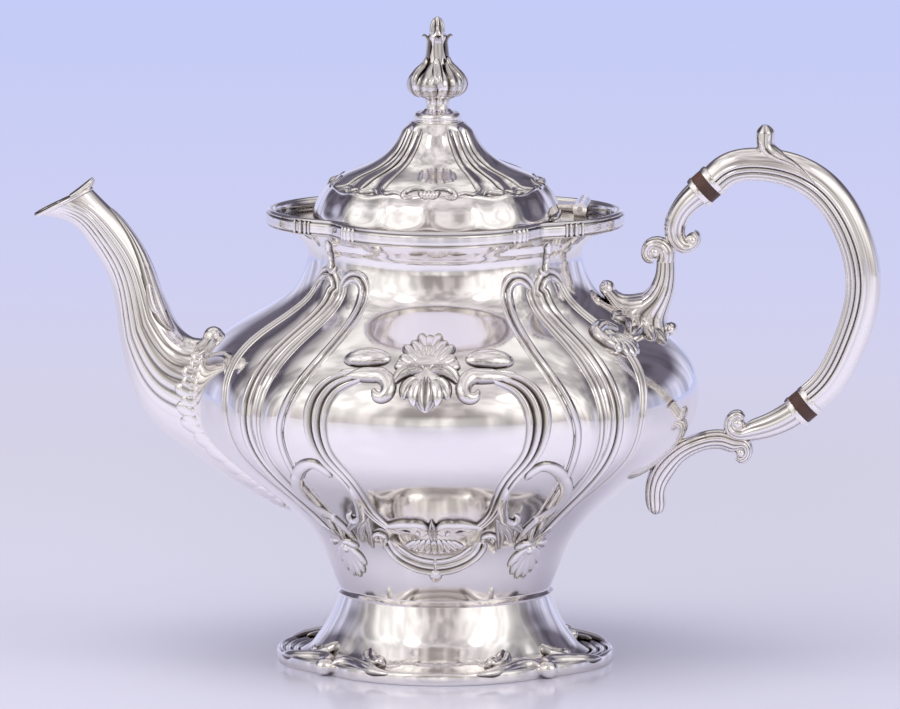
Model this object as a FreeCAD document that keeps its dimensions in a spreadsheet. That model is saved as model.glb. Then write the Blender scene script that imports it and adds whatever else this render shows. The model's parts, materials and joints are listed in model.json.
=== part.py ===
import FreeCAD, Part
import math
import os
import Sketcher

# Silver teapot. Millimetres, +Z up, origin on the pot's axis at the table.
# The spout points along -X, the handle along +X, and the two broad panels face -Y and +Y.

Vector = FreeCAD.Vector
SIZES = {
    # body: heights above the table and half-widths across the panels
    "seam_height": 27.3, "seam_radius": 39.2,
    "belly_height": 100.0, "belly_radius": 94.0,
    "neck_drop": 14.4, "neck_radius": 51.4,
    "brim_height": 162.4, "brim_radius": 60.5,
    # the wall between them: shares of the way up and of the way out
    "stem_up": 0.12, "stem_out": 0.07,
    "waist_up": 0.271, "waist_out": 0.164,
    "flare_up": 0.436, "flare_out": 0.37,
    "haunch_up": 0.601, "haunch_out": 0.644,
    "hip_up": 0.766, "hip_out": 0.883,
    "shoulder_up": 0.3125, "shoulder_out": 0.873,
    "slope_up": 0.542, "slope_out": 0.566,
    "throat_up": 0.75, "throat_out": 0.178,
    "cove_up": 0.625, "cove_out": 0.154,
    "neck_seam_up": 0.64,
    "body_wall": 1.2,
    "body_floor": 1.5,
    "panel_half_angle": 32.0,
    "panel_swell": 0.8,
    "brim_swell": 7.0,
    # foot
    "collar_drop": 2.0,
    "collar_proud": 1.0,
    "collar_inner_radius": 34.0,
    "skirt_top_radius": 38.6,
    "skirt_waist_height": 16.0, "skirt_waist_radius": 42.8,
    "skirt_spread_height": 9.0, "skirt_spread_radius": 47.4,
    "skirt_base_radius": 51.6,
    "skirt_wall": 1.4,
    "skirt_swell": 3.6,
    "foot_height": 4.7,
    "foot_reach": 62.5,
    "foot_lobe_radius": 47.0,
    "foot_notch_radius": 6.0,
    "foot_band": 13.0,
    "foot_knob_radius": 3.6,
    "foot_knob_place": 58.6,
    "foot_knob_height": 6.4,
    "foot_bead": 1.4,
    # mouth
    "flange_thickness": 1.5,
    "flange_reach": 64.5,
    "rim_height": 4.5,
    "rim_reach": 66.4,
    "rim_lobe_radius": 40.0,
    "rim_notch_radius": 6.0,
    "rim_band": 4.2,
    "rim_bead": 1.2,
    "opening_radius": 45.0,
    "seat_wall": 1.2,
    "seat_depth": 5.0,
    # lid: its axis stands off the pot's axis to leave room for the hinge
    "lid_offset": 2.8,
    "lid_gap": 0.3,
    "lid_wall": 1.2,
    "lid_edge_radius": 46.2,
    "lid_band_rise": 5.3, "lid_band_radius": 45.2,
    "lid_drum_rise": 9.3, "lid_drum_radius": 43.4,
    "lid_shoulder_rise": 13.0, "lid_shoulder_radius": 40.6,
    "lid_step_rise": 15.6, "lid_step_radius": 37.4,
    "lid_turn_rise": 19.4, "lid_turn_radius": 29.8,
    "lid_dip_rise": 22.0, "lid_dip_radius": 23.6,
    "lid_climb_rise": 29.2, "lid_climb_radius": 15.6,
    "lid_crown_rise": 36.2, "lid_crown_radius": 10.8,
    "lid_rib_rise": 1.2,
    "lid_rib_width": 2.4,
    "lid_rib_spread": 16.0,
    "lid_step_band": 2.2,
    "lid_swell": 0.7,
    "bezel_clearance": 0.8,
    "bezel_depth": 4.2,
    "bezel_reach": 5.0,
    "bezel_wall": 1.2,
    # finial
    "finial_plinth_radius": 8.3,
    "finial_plinth_height": 5.4,
    "finial_neck_radius": 3.2,
    "finial_height": 34.4,
    "finial_bulb_radius": 10.8,
    "finial_bulb_rise": 10.4,
    "finial_stem_radius": 2.8,
    "finial_stem_rise": 22.3,
    "finial_tuft_radius": 4.3,
    "finial_tuft_rise": 28.2,
    "finial_petals": 8,
    "petal_groove": 1.3,
    "stud_radius": 1.6,
    "stud_clearance": 0.05,
    "stud_grip": 8.0,
    "nut_across": 7.0,
    "nut_height": 3.0,
    "washer_radius": 6.0,
    "washer_thickness": 0.8,
    # hinge
    "hinge_gap": 7.2,
    "hinge_rise": 6.1,
    "knuckle_radius": 2.6,
    "knuckle_length": 8.0,
    "knuckle_gap": 0.3,
    "side_knuckle_length": 6.5,
    "hinge_pin_radius": 1.0,
    "hinge_pin_clearance": 0.04,
    "hinge_plate_width": 4.4,
    "hinge_leaf_thickness": 2.0,
    # spout stations: out and up from the belly, depth in the middle plane, width across it, lean of the depth
    "spout_root_out": -27.0, "spout_root_up": -12.0, "spout_root_lean": 106.0,
    "spout_root_depth": 70.0, "spout_root_width": 30.0,
    "spout_tongue_out": -10.0, "spout_tongue_up": -6.6, "spout_tongue_lean": 97.0,
    "spout_tongue_depth": 53.0, "spout_tongue_width": 29.5,
    "spout_heel_out": -2.0, "spout_heel_up": -2.8, "spout_heel_lean": 88.0,
    "spout_heel_depth": 43.5, "spout_heel_width": 28.0,
    "spout_bend_out": 8.8, "spout_bend_up": 4.7, "spout_bend_lean": 70.4,
    "spout_bend_depth": 35.6, "spout_bend_width": 25.0,
    "spout_elbow_out": 16.0, "spout_elbow_up": 18.4, "spout_elbow_lean": 52.8,
    "spout_elbow_depth": 27.5, "spout_elbow_width": 21.0,
    "spout_rise_out": 19.2, "spout_rise_up": 30.2, "spout_rise_lean": 36.0,
    "spout_rise_depth": 20.7, "spout_rise_width": 17.0,
    "spout_waist_out": 23.3, "spout_waist_up": 44.9, "spout_waist_lean": 29.3,
    "spout_waist_depth": 16.8, "spout_waist_width": 14.0,
    "spout_throat_out": 32.2, "spout_throat_up": 59.0, "spout_throat_lean": 30.0,
    "spout_throat_depth": 15.5, "spout_throat_width": 12.5,
    "spout_lip_out": 39.2, "spout_lip_up": 66.0, "spout_lip_lean": 28.5,
    "spout_lip_depth": 15.6, "spout_lip_width": 12.0,
    "spout_mouth_out": 48.3, "spout_mouth_up": 69.8, "spout_mouth_lean": 26.0,
    "spout_mouth_depth": 23.7, "spout_mouth_width": 11.6,
    "spout_wall": 1.5,
    "mount_thickness": 1.4,
    "mount_border": 4.0,
    "strainer_thickness": 0.9,
    "strainer_radius": 14.5,
    "strainer_hole_radius": 1.5,
    "strainer_pitch": 5.4,
    "spout_hole_radius": 12.0,
    # handle: insulator centres and axes, then the grip's line between them
    "insulator_length": 5.6,
    "insulator_radius": 6.0,
    "tenon_radius": 3.4,
    "tenon_length": 6.0,
    "tenon_clearance": 0.1,
    "pin_radius": 0.8,
    "pin_clearance": 0.05,
    "upper_break_out": 2.7, "upper_break_drop": 8.6, "upper_break_slope": 42.0,
    "lower_break_out": 38.8, "lower_break_up": -3.7, "lower_break_slope": 40.6,
    # the grip's line: its top and reach, then shares of the way across and of the way down
    "grip_top_up": 86.4, "grip_top_across": 0.253,
    "grip_crown_across": 0.659, "grip_crown_fall": 0.081,
    "grip_bend_across": 0.912, "grip_bend_fall": 0.288,
    "grip_reach_out": 61.1, "grip_reach_fall": 0.535,
    "grip_return_across": 0.6225, "grip_return_fall": 0.807,
    "grip_depth": 12.6,
    "grip_end_depth": 11.0,
    "grip_width": 11.0,
    "reed_rise": 0.5,
    "thumb_ahead": 4.2, "thumb_rise": 15.4, "thumb_depth": 21.0, "thumb_width": 9.0, "thumb_lean": 4.0,
    "socket_radius": 5.2,
    "volute_radius": 5.0,
    "volute_width": 8.6,
    # brackets: out and up from the belly
    "bracket_head_out": -16.0, "bracket_head_up": 53.8,
    "bracket_top_out": -12.4, "bracket_top_up": 51.4,
    "bracket_stem_out": -14.8, "bracket_stem_up": 41.4,
    "bracket_foot_out": -24.0, "bracket_foot_up": 30.0,
    "bracket_root_out": -34.0, "bracket_root_up": 18.0,
    "bracket_stem_depth": 13.0, "bracket_foot_depth": 27.0, "bracket_width": 9.4, "bracket_foot_width": 15.5,
    "spur_start_out": -16.0, "spur_start_up": 36.5,
    "spur_bend_out": -27.5, "spur_bend_up": 37.6,
    "spur_tip_out": -34.4, "spur_tip_up": 41.0,
    "spur_depth": 7.0,
    "lower_arm_out": 26.6, "lower_arm_up": -11.2,
    "lower_bend_out": 16.4, "lower_bend_up": -12.7,
    "scroll_curl_out": 16.4, "scroll_curl_up": -20.9,
    "scroll_crest_out": 6.4, "scroll_crest_up": -19.5,
    "scroll_back_out": -3.6, "scroll_back_up": -20.5,
    "scroll_turn_out": -11.6, "scroll_turn_up": -26.0,
    "scroll_drop_out": -14.9, "scroll_drop_up": -34.0,
    "scroll_tip_out": -15.4, "scroll_tip_up": -40.5,
    "scroll_end_out": -15.0, "scroll_end_up": -44.0,
    "tail_radius": 4.8,
    # relief: leaf straps on the four corners, shield frames and crests on the two broad panels
    "strap_half_width": 21.4,
    "strap_band": 3.4,
    "strap_rise": 1.0,
    "shield_half_width": 45.0,
    "shield_top_level": 0.458,
    "shield_bottom_level": -0.647,
    "shield_band": 5.5,
    "shield_rise": 1.2,
    "crest_half_width": 17.0,
    "crest_top_level": 0.688,
    "crest_bottom_level": 0.188,
    "crest_rise": 2.4,
}

doc = FreeCAD.newDocument("teapot")
sheet = doc.addObject("Spreadsheet::Sheet", "dims")
for row, (alias, number) in enumerate(SIZES.items(), start=1):
    sheet.set("A%d" % row, alias)
    sheet.set("B%d" % row, str(number))
    sheet.setAlias("B%d" % row, alias)
doc.recompute()


class Size:
    """A number together with the sheet expression that gives it."""

    def __init__(self, number, text):
        self.number = number
        self.text = text

    def combine(self, other, sign, number):
        right = other.text if isinstance(other, Size) else repr(other)
        return Size(number, "(%s %s %s)" % (self.text, sign, right))

    def __add__(self, other):
        return self.combine(other, "+", self.number + plain(other))

    def __sub__(self, other):
        return self.combine(other, "-", self.number - plain(other))

    def __mul__(self, other):
        return self.combine(other, "*", self.number * plain(other))

    def __truediv__(self, other):
        return self.combine(other, "/", self.number / plain(other))


def plain(size):
    return size.number if isinstance(size, Size) else size


def dim(alias):
    return Size(float(sheet.get(alias)), "dims." + alias)


def value(alias):
    return float(sheet.get(alias))


ZERO = Size(0.0, "0")
nodes = []


def keep(label, thing):
    """Name a finished sub-part and list it for export."""
    thing.Label = label
    nodes.append(thing)
    return thing


def feature(label, shape):
    """A sub-part, or a tool for one, whose shape is worked out from the sheet."""
    thing = doc.addObject("Part::Feature", label)
    thing.Shape = shape
    return thing


# Levels that several pieces share, all from the same sheet values
SEAM = dim("seam_height")
SKIRT_TOP = SEAM - dim("collar_drop")
FOOT_TOP = dim("foot_height")
FLANGE_BASE = dim("brim_height")
NECK = FLANGE_BASE - dim("neck_drop")
FLANGE_TOP = FLANGE_BASE + dim("flange_thickness")
LID_BASE = FLANGE_TOP + dim("lid_gap")
LID_TOP = LID_BASE + dim("lid_crown_rise")
FINIAL_BASE = LID_TOP + dim("finial_plinth_height")
LID_X = ZERO - dim("lid_offset")
HINGE_X = LID_X + dim("lid_edge_radius") + dim("hinge_gap")
HINGE_Z = FLANGE_TOP + dim("hinge_rise")


def level(share):
    """A height on the pot's wall: -1 at the foot seam, 0 at the belly and 1 at the neck."""
    belly = value("belly_height")
    span = NECK.number - belly if share > 0 else belly - SEAM.number
    return belly + share * span


def beyond_belly(name):
    """A point of the middle plane on the handle's side, placed out and up from the belly."""
    return Vector(value("belly_radius") + value(name + "_out"), 0, value("belly_height") + value(name + "_up"))


# Sketch helpers

def origin_plane(body, role):
    return [plane for plane in body.Origin.OriginFeatures if plane.Role == role][0]


def new_sketch(body, role, level=None):
    """An empty sketch on one of the body's own planes, raised to a level where one is given."""
    sketch = body.newObject("Sketcher::SketchObject", "Sketch")
    sketch.AttachmentSupport = [(origin_plane(body, role), "")]
    sketch.MapMode = "FlatFace"
    if level is not None:
        sketch.AttachmentOffset = FreeCAD.Placement(Vector(0, 0, level.number), FreeCAD.Rotation())
        sketch.setExpression("AttachmentOffset.Base.z", level.text)
    return sketch


def bind(sketch, kind, *where, size):
    """Add one driving constraint and tie it to the sheet."""
    index = sketch.addConstraint(Sketcher.Constraint(kind, *where, size.number))
    sketch.setExpression("Constraints[%d]" % index, size.text)


def place_point(sketch, geometry, end, across, along):
    """Fix one end of an edge at a distance across and along from the sketch's origin."""
    for kind, axis, size in (("DistanceX", -2, across), ("DistanceY", -1, along)):
        if abs(size.number) < 1e-9:
            sketch.addConstraint(Sketcher.Constraint("PointOnObject", geometry, end, axis))
        else:
            bind(sketch, kind, -1, 1, geometry, end, size=size)


def arc_between(first, last, radius, side):
    """Minor arc from first to last; its centre is to the left for side 1 and to the right for side -1."""
    chord = last - first
    rise = math.sqrt(max(radius ** 2 - chord.Length ** 2 / 4, 0.0))
    left = Vector(-chord.y, chord.x, 0).normalize()
    centre = (first + last) / 2 + left * rise * side
    begin, finish = (first, last) if side > 0 else (last, first)
    angles = [math.atan2((p - centre).y, (p - centre).x) for p in (begin, finish)]
    circle = Part.Circle(centre, Vector(0, 0, 1), radius)
    return Part.ArcOfCircle(circle, angles[0], angles[1])


def closed_profile(sketch, corners):
    """Closed outline through corners (across, along[, radius, side]); a radius makes the next edge an arc."""
    spots = [Vector(c[0].number, c[1].number, 0) for c in corners]
    ends = []
    for i, corner in enumerate(corners):
        first, last = spots[i], spots[(i + 1) % len(spots)]
        if len(corner) > 2:
            index = sketch.addGeometry(arc_between(first, last, corner[2].number, corner[3]))
            ends.append((index, 1, 2) if corner[3] > 0 else (index, 2, 1))
            bind(sketch, "Radius", index, size=corner[2])
        else:
            index = sketch.addGeometry(Part.LineSegment(first, last))
            ends.append((index, 1, 2))
    for i, (index, begin, finish) in enumerate(ends):
        following = ends[(i + 1) % len(ends)]
        sketch.addConstraint(Sketcher.Constraint("Coincident", index, finish, following[0], following[1]))
        place_point(sketch, index, begin, corners[i][0], corners[i][1])


def turned(name, corners):
    """A body turned about its own Z axis from a closed half-profile of (radius, height) corners."""
    body = doc.addObject("PartDesign::Body", name)
    sketch = new_sketch(body, "XZ_Plane")
    closed_profile(sketch, corners)
    spin = body.newObject("PartDesign::Revolution", name + "_turn")
    spin.Profile = sketch
    spin.ReferenceAxis = (sketch, ["V_Axis"])
    spin.Angle = 360
    return body


def at_lid_axis(thing):
    """Stand a piece of the lid on the lid's own axis."""
    thing.Placement.Base = Vector(LID_X.number, 0, 0)
    thing.setExpression("Placement.Base.x", LID_X.text)
    return thing


def quatrefoil(sketch, reach, lobe_radius, notch_radius):
    """Four lobes of one radius, joined by four hollow notches that are tangent to them."""
    offset = reach - lobe_radius
    o, big, small = offset.number, lobe_radius.number, notch_radius.number
    span = big + small
    notch_centre = (o + math.sqrt(2 * span ** 2 - o ** 2)) / 2
    lean = math.atan2(notch_centre, notch_centre - o)
    lobes, notches = [], []
    for quarter in range(4):
        turn = quarter * math.pi / 2
        centre = Vector(o * math.cos(turn), o * math.sin(turn), 0)
        lobe = Part.ArcOfCircle(Part.Circle(centre, Vector(0, 0, 1), big), turn - lean, turn + lean)
        lobes.append(sketch.addGeometry(lobe))
        hollow = turn + math.pi / 4
        middle = Vector(math.cos(hollow), math.sin(hollow), 0) * notch_centre * math.sqrt(2)
        back = turn + lean + math.pi
        begin = turn + math.pi / 2 - lean + math.pi
        notch = Part.ArcOfCircle(Part.Circle(middle, Vector(0, 0, 1), small), begin, back)
        notches.append(sketch.addGeometry(notch))
    for quarter in range(4):
        lobe, notch, following = lobes[quarter], notches[quarter], lobes[(quarter + 1) % 4]
        sketch.addConstraint(Sketcher.Constraint("Tangent", lobe, 2, notch, 2))
        sketch.addConstraint(Sketcher.Constraint("Tangent", notch, 1, following, 1))
        bind(sketch, "Radius", lobe, size=lobe_radius)
        bind(sketch, "Radius", notch, size=notch_radius)
        across = offset * round(math.cos(quarter * math.pi / 2))
        along = offset * round(math.sin(quarter * math.pi / 2))
        place_point(sketch, lobe, 3, across, along)


def quatrefoil_ring(name, level, height, reach, lobe_radius, notch_radius, band):
    """A flat ring with a four-lobed outer edge and, a band further in, a four-lobed opening."""
    body = doc.addObject("PartDesign::Body", name)
    outer = new_sketch(body, "XY_Plane", level)
    quatrefoil(outer, reach, lobe_radius, notch_radius)
    pad = body.newObject("PartDesign::Pad", name + "_pad")
    pad.Profile = outer
    pad.Length = height.number
    pad.setExpression("Length", height.text)
    inner = new_sketch(body, "XY_Plane", level)
    quatrefoil(inner, reach - band, lobe_radius - band, notch_radius + band)
    opening = body.newObject("PartDesign::Pocket", name + "_opening")
    opening.Profile = inner
    opening.Reversed = True
    opening.Length = height.number
    opening.setExpression("Length", height.text)
    doc.recompute()
    return body


def outer_rim_edges(shape, level):
    """Names of the edges round the outside of the flat face at one level."""
    flats = [f for f in shape.Faces if abs(f.BoundBox.ZMin - level) < 1e-6 and f.BoundBox.ZLength < 1e-6]
    rim = max(flats, key=lambda face: face.Area).OuterWire.Edges
    return ["Edge%d" % n for n, edge in enumerate(shape.Edges, start=1) if any(edge.isSame(e) for e in rim)]


def round_over(body, name, level, radius):
    """Round the outer edge of a ring at one level."""
    base = body.Tip
    edges = outer_rim_edges(base.Shape, level.number)
    fillet = body.newObject("PartDesign::Fillet", name)
    fillet.Base = (base, edges)
    fillet.Radius = radius.number
    fillet.setExpression("Radius", radius.text)
    body.Tip = fillet
    doc.recompute()


# Panelled shells

def panel_outline(height, reach, swell):
    """Closed outline at one height: four bowed panels joined by four flat straps."""
    half = math.radians(value("panel_half_angle"))
    edge = reach - swell

    def spot(radius, angle):
        return Vector(radius * math.cos(angle), radius * math.sin(angle), height)

    edges = []
    for quarter in range(4):
        turn = quarter * math.pi / 2
        last = spot(edge, turn + half)
        edges.append(Part.Arc(spot(edge, turn - half), spot(reach, turn), last).toShape())
        edges.append(Part.LineSegment(last, spot(edge, turn + math.pi / 2 - half)).toShape())
    return Part.Wire(edges)


def panel_loft(stations):
    """Smooth solid through panel outlines given as (height, reach, swell)."""
    return Part.makeLoft([panel_outline(*station) for station in stations], True, False)


def inset(stations, wall):
    """Stations moved inwards by the wall, square to the profile that they lie on."""
    moved = []
    for i, (height, reach, swell) in enumerate(stations):
        before, after = stations[max(i - 1, 0)], stations[min(i + 1, len(stations) - 1)]
        rise, run = after[0] - before[0], after[1] - before[1]
        length = math.hypot(rise, run)
        moved.append((height + wall * run / length, reach - wall * rise / length, swell))
    return moved


def body_stations():
    """The pot's profile from the foot seam to the brim."""
    seam, belly, neck, brim = [value(n + "_radius") for n in ("seam", "belly", "neck", "brim")]
    swell = value("panel_swell")
    brim_swell = value("brim_swell")
    stations = [(SEAM.number, seam, swell)]
    for n in ("stem", "waist", "flare", "haunch", "hip"):
        stations.append((level(value(n + "_up") - 1), seam + (belly - seam) * value(n + "_out"), swell))
    stations.append((value("belly_height"), belly, swell))
    for n in ("shoulder", "slope", "throat"):
        stations.append((level(value(n + "_up")), neck + (belly - neck) * value(n + "_out"), swell))
    cove_height = NECK.number + value("neck_drop") * value("cove_up")
    cove_radius = neck + (brim - neck) * value("cove_out")
    stations.append((NECK.number, neck, swell))
    stations.append((cove_height, cove_radius, 0.25 * brim_swell))
    stations.append((FLANGE_BASE.number, brim, brim_swell))
    return stations


def with_flat_ends(stations, bottom, top):
    """Stations that start and end exactly at two heights."""
    first = (bottom,) + stations[0][1:]
    last = (top,) + stations[-1][1:]
    middle = [s for s in stations[1:-1] if bottom + 1 < s[0] < top - 1]
    return [first] + middle + [last]


BODY = body_stations()
body_outer = panel_loft(BODY)
BODY_FLOOR = SEAM.number + value("body_floor")
BODY_INNER = with_flat_ends(inset(BODY, value("body_wall")), BODY_FLOOR, FLANGE_BASE.number)
body_inner = panel_loft(BODY_INNER)


def cylinder(start, direction, radius, length):
    return Part.makeCylinder(radius, length, start, direction)


def spout_axis_point():
    """A point on the axis of the spout's hole, outside the pot."""
    height = value("belly_height") + value("spout_heel_up") - value("spout_hole_radius") / 3
    return Vector(-1.5 * value("belly_radius"), 0, height)


def make_body_shell():
    """The bowl with the spout's hole, and the neck that is soldered on above the shoulder."""
    middle = spout_axis_point()
    hole = cylinder(middle, Vector(1, 0, 0), value("spout_hole_radius"), value("belly_radius"))
    wall = body_outer.cut(body_inner).cut(hole)
    seam = level(value("neck_seam_up"))
    wide = 2 * value("belly_radius")
    below = cylinder(Vector(0, 0, 0), Vector(0, 0, 1), wide, seam)
    keep("body_shell", feature("body_shell", wall.common(below)))
    keep("neck_shell", feature("neck_shell", wall.cut(below)))


def make_strainer():
    """Pierced plate that lies against the inside of the wall over the spout's hole."""
    deeper = inset(BODY, value("body_wall") + value("strainer_thickness"))
    lining = panel_loft(with_flat_ends(deeper, BODY_FLOOR, FLANGE_BASE.number))
    middle = spout_axis_point()
    length = value("belly_radius")
    plate = body_inner.cut(lining).common(cylinder(middle, Vector(1, 0, 0), value("strainer_radius"), length))
    pitch = value("strainer_pitch")
    holes = [cylinder(middle, Vector(1, 0, 0), value("strainer_hole_radius"), length)]
    for ring, count in ((1, 6), (2, 12)):
        if ring * pitch + value("strainer_hole_radius") < value("spout_hole_radius"):
            for step in range(count):
                turn = 2 * math.pi * step / count
                place = middle + Vector(0, math.cos(turn), math.sin(turn)) * ring * pitch
                holes.append(cylinder(place, Vector(1, 0, 0), value("strainer_hole_radius"), length))
    return keep("spout_strainer", feature("spout_strainer", plate.cut(holes)))


def make_foot():
    """Turned collar, panelled skirt and four-lobed border with a scroll knob in each notch."""
    proud = dim("seam_radius") + dim("collar_proud")
    half = dim("collar_drop") / 2
    keep("foot_collar", turned("foot_collar", [
        (dim("collar_inner_radius"), SKIRT_TOP), (dim("seam_radius"), SKIRT_TOP),
        (proud, SKIRT_TOP + half), (dim("seam_radius"), SEAM), (dim("collar_inner_radius"), SEAM)]))

    swell = value("skirt_swell")
    stations = [
        (FOOT_TOP.number, value("skirt_base_radius"), swell),
        (value("skirt_spread_height"), value("skirt_spread_radius"), swell * 0.6),
        (value("skirt_waist_height"), value("skirt_waist_radius"), swell * 0.25),
        (SKIRT_TOP.number, value("skirt_top_radius"), 0.1)]
    hollow = with_flat_ends(inset(stations, value("skirt_wall")), FOOT_TOP.number, SKIRT_TOP.number)
    keep("foot_skirt", feature("foot_skirt", panel_loft(stations).cut(panel_loft(hollow))))

    border = quatrefoil_ring("foot_ring", ZERO, FOOT_TOP, dim("foot_reach"), dim("foot_lobe_radius"),
                             dim("foot_notch_radius"), dim("foot_band"))
    round_over(border, "foot_border_bead", FOOT_TOP, dim("foot_bead"))
    knobs = []
    for quarter in range(4):
        turn = math.pi / 4 + quarter * math.pi / 2
        place = Vector(math.cos(turn), math.sin(turn), 0) * value("foot_knob_place")
        middle = place + Vector(0, 0, value("foot_knob_height") - value("foot_knob_radius"))
        ball = Part.makeSphere(value("foot_knob_radius"), middle)
        above = cylinder(place, Vector(0, 0, 1), 2 * value("foot_knob_radius"), value("foot_knob_height"))
        knobs.append(ball.common(above))
    whole = feature("foot_border", border.Shape.fuse(knobs).removeSplitter())
    return keep("foot_border", whole)


def make_mouth():
    """Flange plate, the lobed border that stands on it, and the guide ring below it."""
    plate = doc.addObject("PartDesign::Body", "mouth_flange")
    outline = new_sketch(plate, "XY_Plane", FLANGE_BASE)
    quatrefoil(outline, dim("flange_reach"), dim("rim_lobe_radius") - (dim("rim_reach") - dim("flange_reach")),
               dim("rim_notch_radius") + (dim("rim_reach") - dim("flange_reach")))
    pad = plate.newObject("PartDesign::Pad", "flange_pad")
    pad.Profile = outline
    pad.Length = value("flange_thickness")
    pad.setExpression("Length", "dims.flange_thickness")
    opening = new_sketch(plate, "XY_Plane", FLANGE_BASE)
    round_edge = Part.Circle(Vector(LID_X.number, 0, 0), Vector(0, 0, 1), value("opening_radius"))
    circle = opening.addGeometry(round_edge)
    bind(opening, "Radius", circle, size=dim("opening_radius"))
    place_point(opening, circle, 3, LID_X, ZERO)
    hole = plate.newObject("PartDesign::Pocket", "flange_opening")
    hole.Profile = opening
    hole.Reversed = True
    hole.Length = value("flange_thickness")
    hole.setExpression("Length", "dims.flange_thickness")
    keep("mouth_flange", plate)

    border = quatrefoil_ring("rim_border", FLANGE_TOP, dim("rim_height"), dim("rim_reach"),
                             dim("rim_lobe_radius"), dim("rim_notch_radius"), dim("rim_band"))
    round_over(border, "rim_border_bead", FLANGE_TOP + dim("rim_height"), dim("rim_bead"))
    keep("rim_border", border)

    seat_out = dim("opening_radius") + dim("seat_wall")
    seat_base = FLANGE_BASE - dim("seat_depth")
    ring = turned("lid_seat_ring", [
        (dim("opening_radius"), seat_base), (seat_out, seat_base),
        (seat_out, FLANGE_BASE), (dim("opening_radius"), FLANGE_BASE)])
    keep("lid_seat_ring", at_lid_axis(ring))


# Lid

def lid_stations():
    """The lid's profile from its edge to its crown."""
    names = ["band", "drum", "shoulder", "step", "turn", "dip", "climb", "crown"]
    base = LID_BASE.number
    swell = value("lid_swell")
    return [(base, value("lid_edge_radius"), swell)] + [
        (base + value("lid_%s_rise" % n), value("lid_%s_radius" % n), swell * 0.6) for n in names]


def make_lid_straps(stations, outer, shift):
    """Raised moulding round the step, and on each corner three ribs that climb from it to the crown."""
    coat = panel_loft(inset(stations, -value("lid_rib_rise")))
    coat.translate(shift)
    step = LID_BASE.number + value("lid_step_rise")
    band, width = value("lid_step_band"), value("lid_rib_width")
    tools = [cylinder(shift + Vector(0, 0, step - band / 2), Vector(0, 0, 1), value("opening_radius"), band)]
    start, tall = value("lid_crown_radius") + width, LID_TOP.number - width - step
    for quarter in range(4):
        for lean in (-1, 0, 1):
            slab = Part.makeBox(value("lid_step_radius") - start, width, tall, Vector(start, -width / 2, step))
            turn = 45 + 90 * quarter + lean * value("lid_rib_spread")
            slab.rotate(Vector(0, 0, 0), Vector(0, 0, 1), turn)
            slab.translate(shift)
            tools.append(slab)
    ribs = tools[0].fuse(tools[1:])
    keep("lid_straps", feature("lid_straps", coat.cut(outer).common(ribs).removeSplitter()))


def make_lid():
    stations = lid_stations()
    shift = Vector(LID_X.number, 0, 0)
    outer = panel_loft(stations)
    outer.translate(shift)
    hollow = with_flat_ends(inset(stations, value("lid_wall")), LID_BASE.number,
                            LID_TOP.number - value("lid_wall"))
    inner = panel_loft(hollow)
    inner.translate(shift)
    bore = cylinder(shift, Vector(0, 0, 1), value("stud_radius") + value("stud_clearance"), LID_TOP.number + 1)
    keep("lid_dome", feature("lid_dome", outer.cut(inner).cut(bore)))
    make_lid_straps(stations, outer, shift)

    outside = dim("opening_radius") - dim("bezel_clearance")
    inside = outside - dim("bezel_wall")
    low, high = LID_BASE - dim("bezel_depth"), LID_BASE + dim("bezel_reach")
    ring = at_lid_axis(turned("bezel_ring", [(inside, low), (outside, low), (outside, high), (inside, high)]))
    doc.recompute()
    fitted = doc.addObject("Part::Common", "bezel_inside")
    fitted.Base = ring
    space = feature("lid_space", inner.fuse(cylinder(shift + Vector(0, 0, low.number), Vector(0, 0, 1),
                                                     outside.number + 1, LID_BASE.number - low.number)))
    fitted.Tool = space
    keep("lid_bezel", fitted)
    return outer


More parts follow.
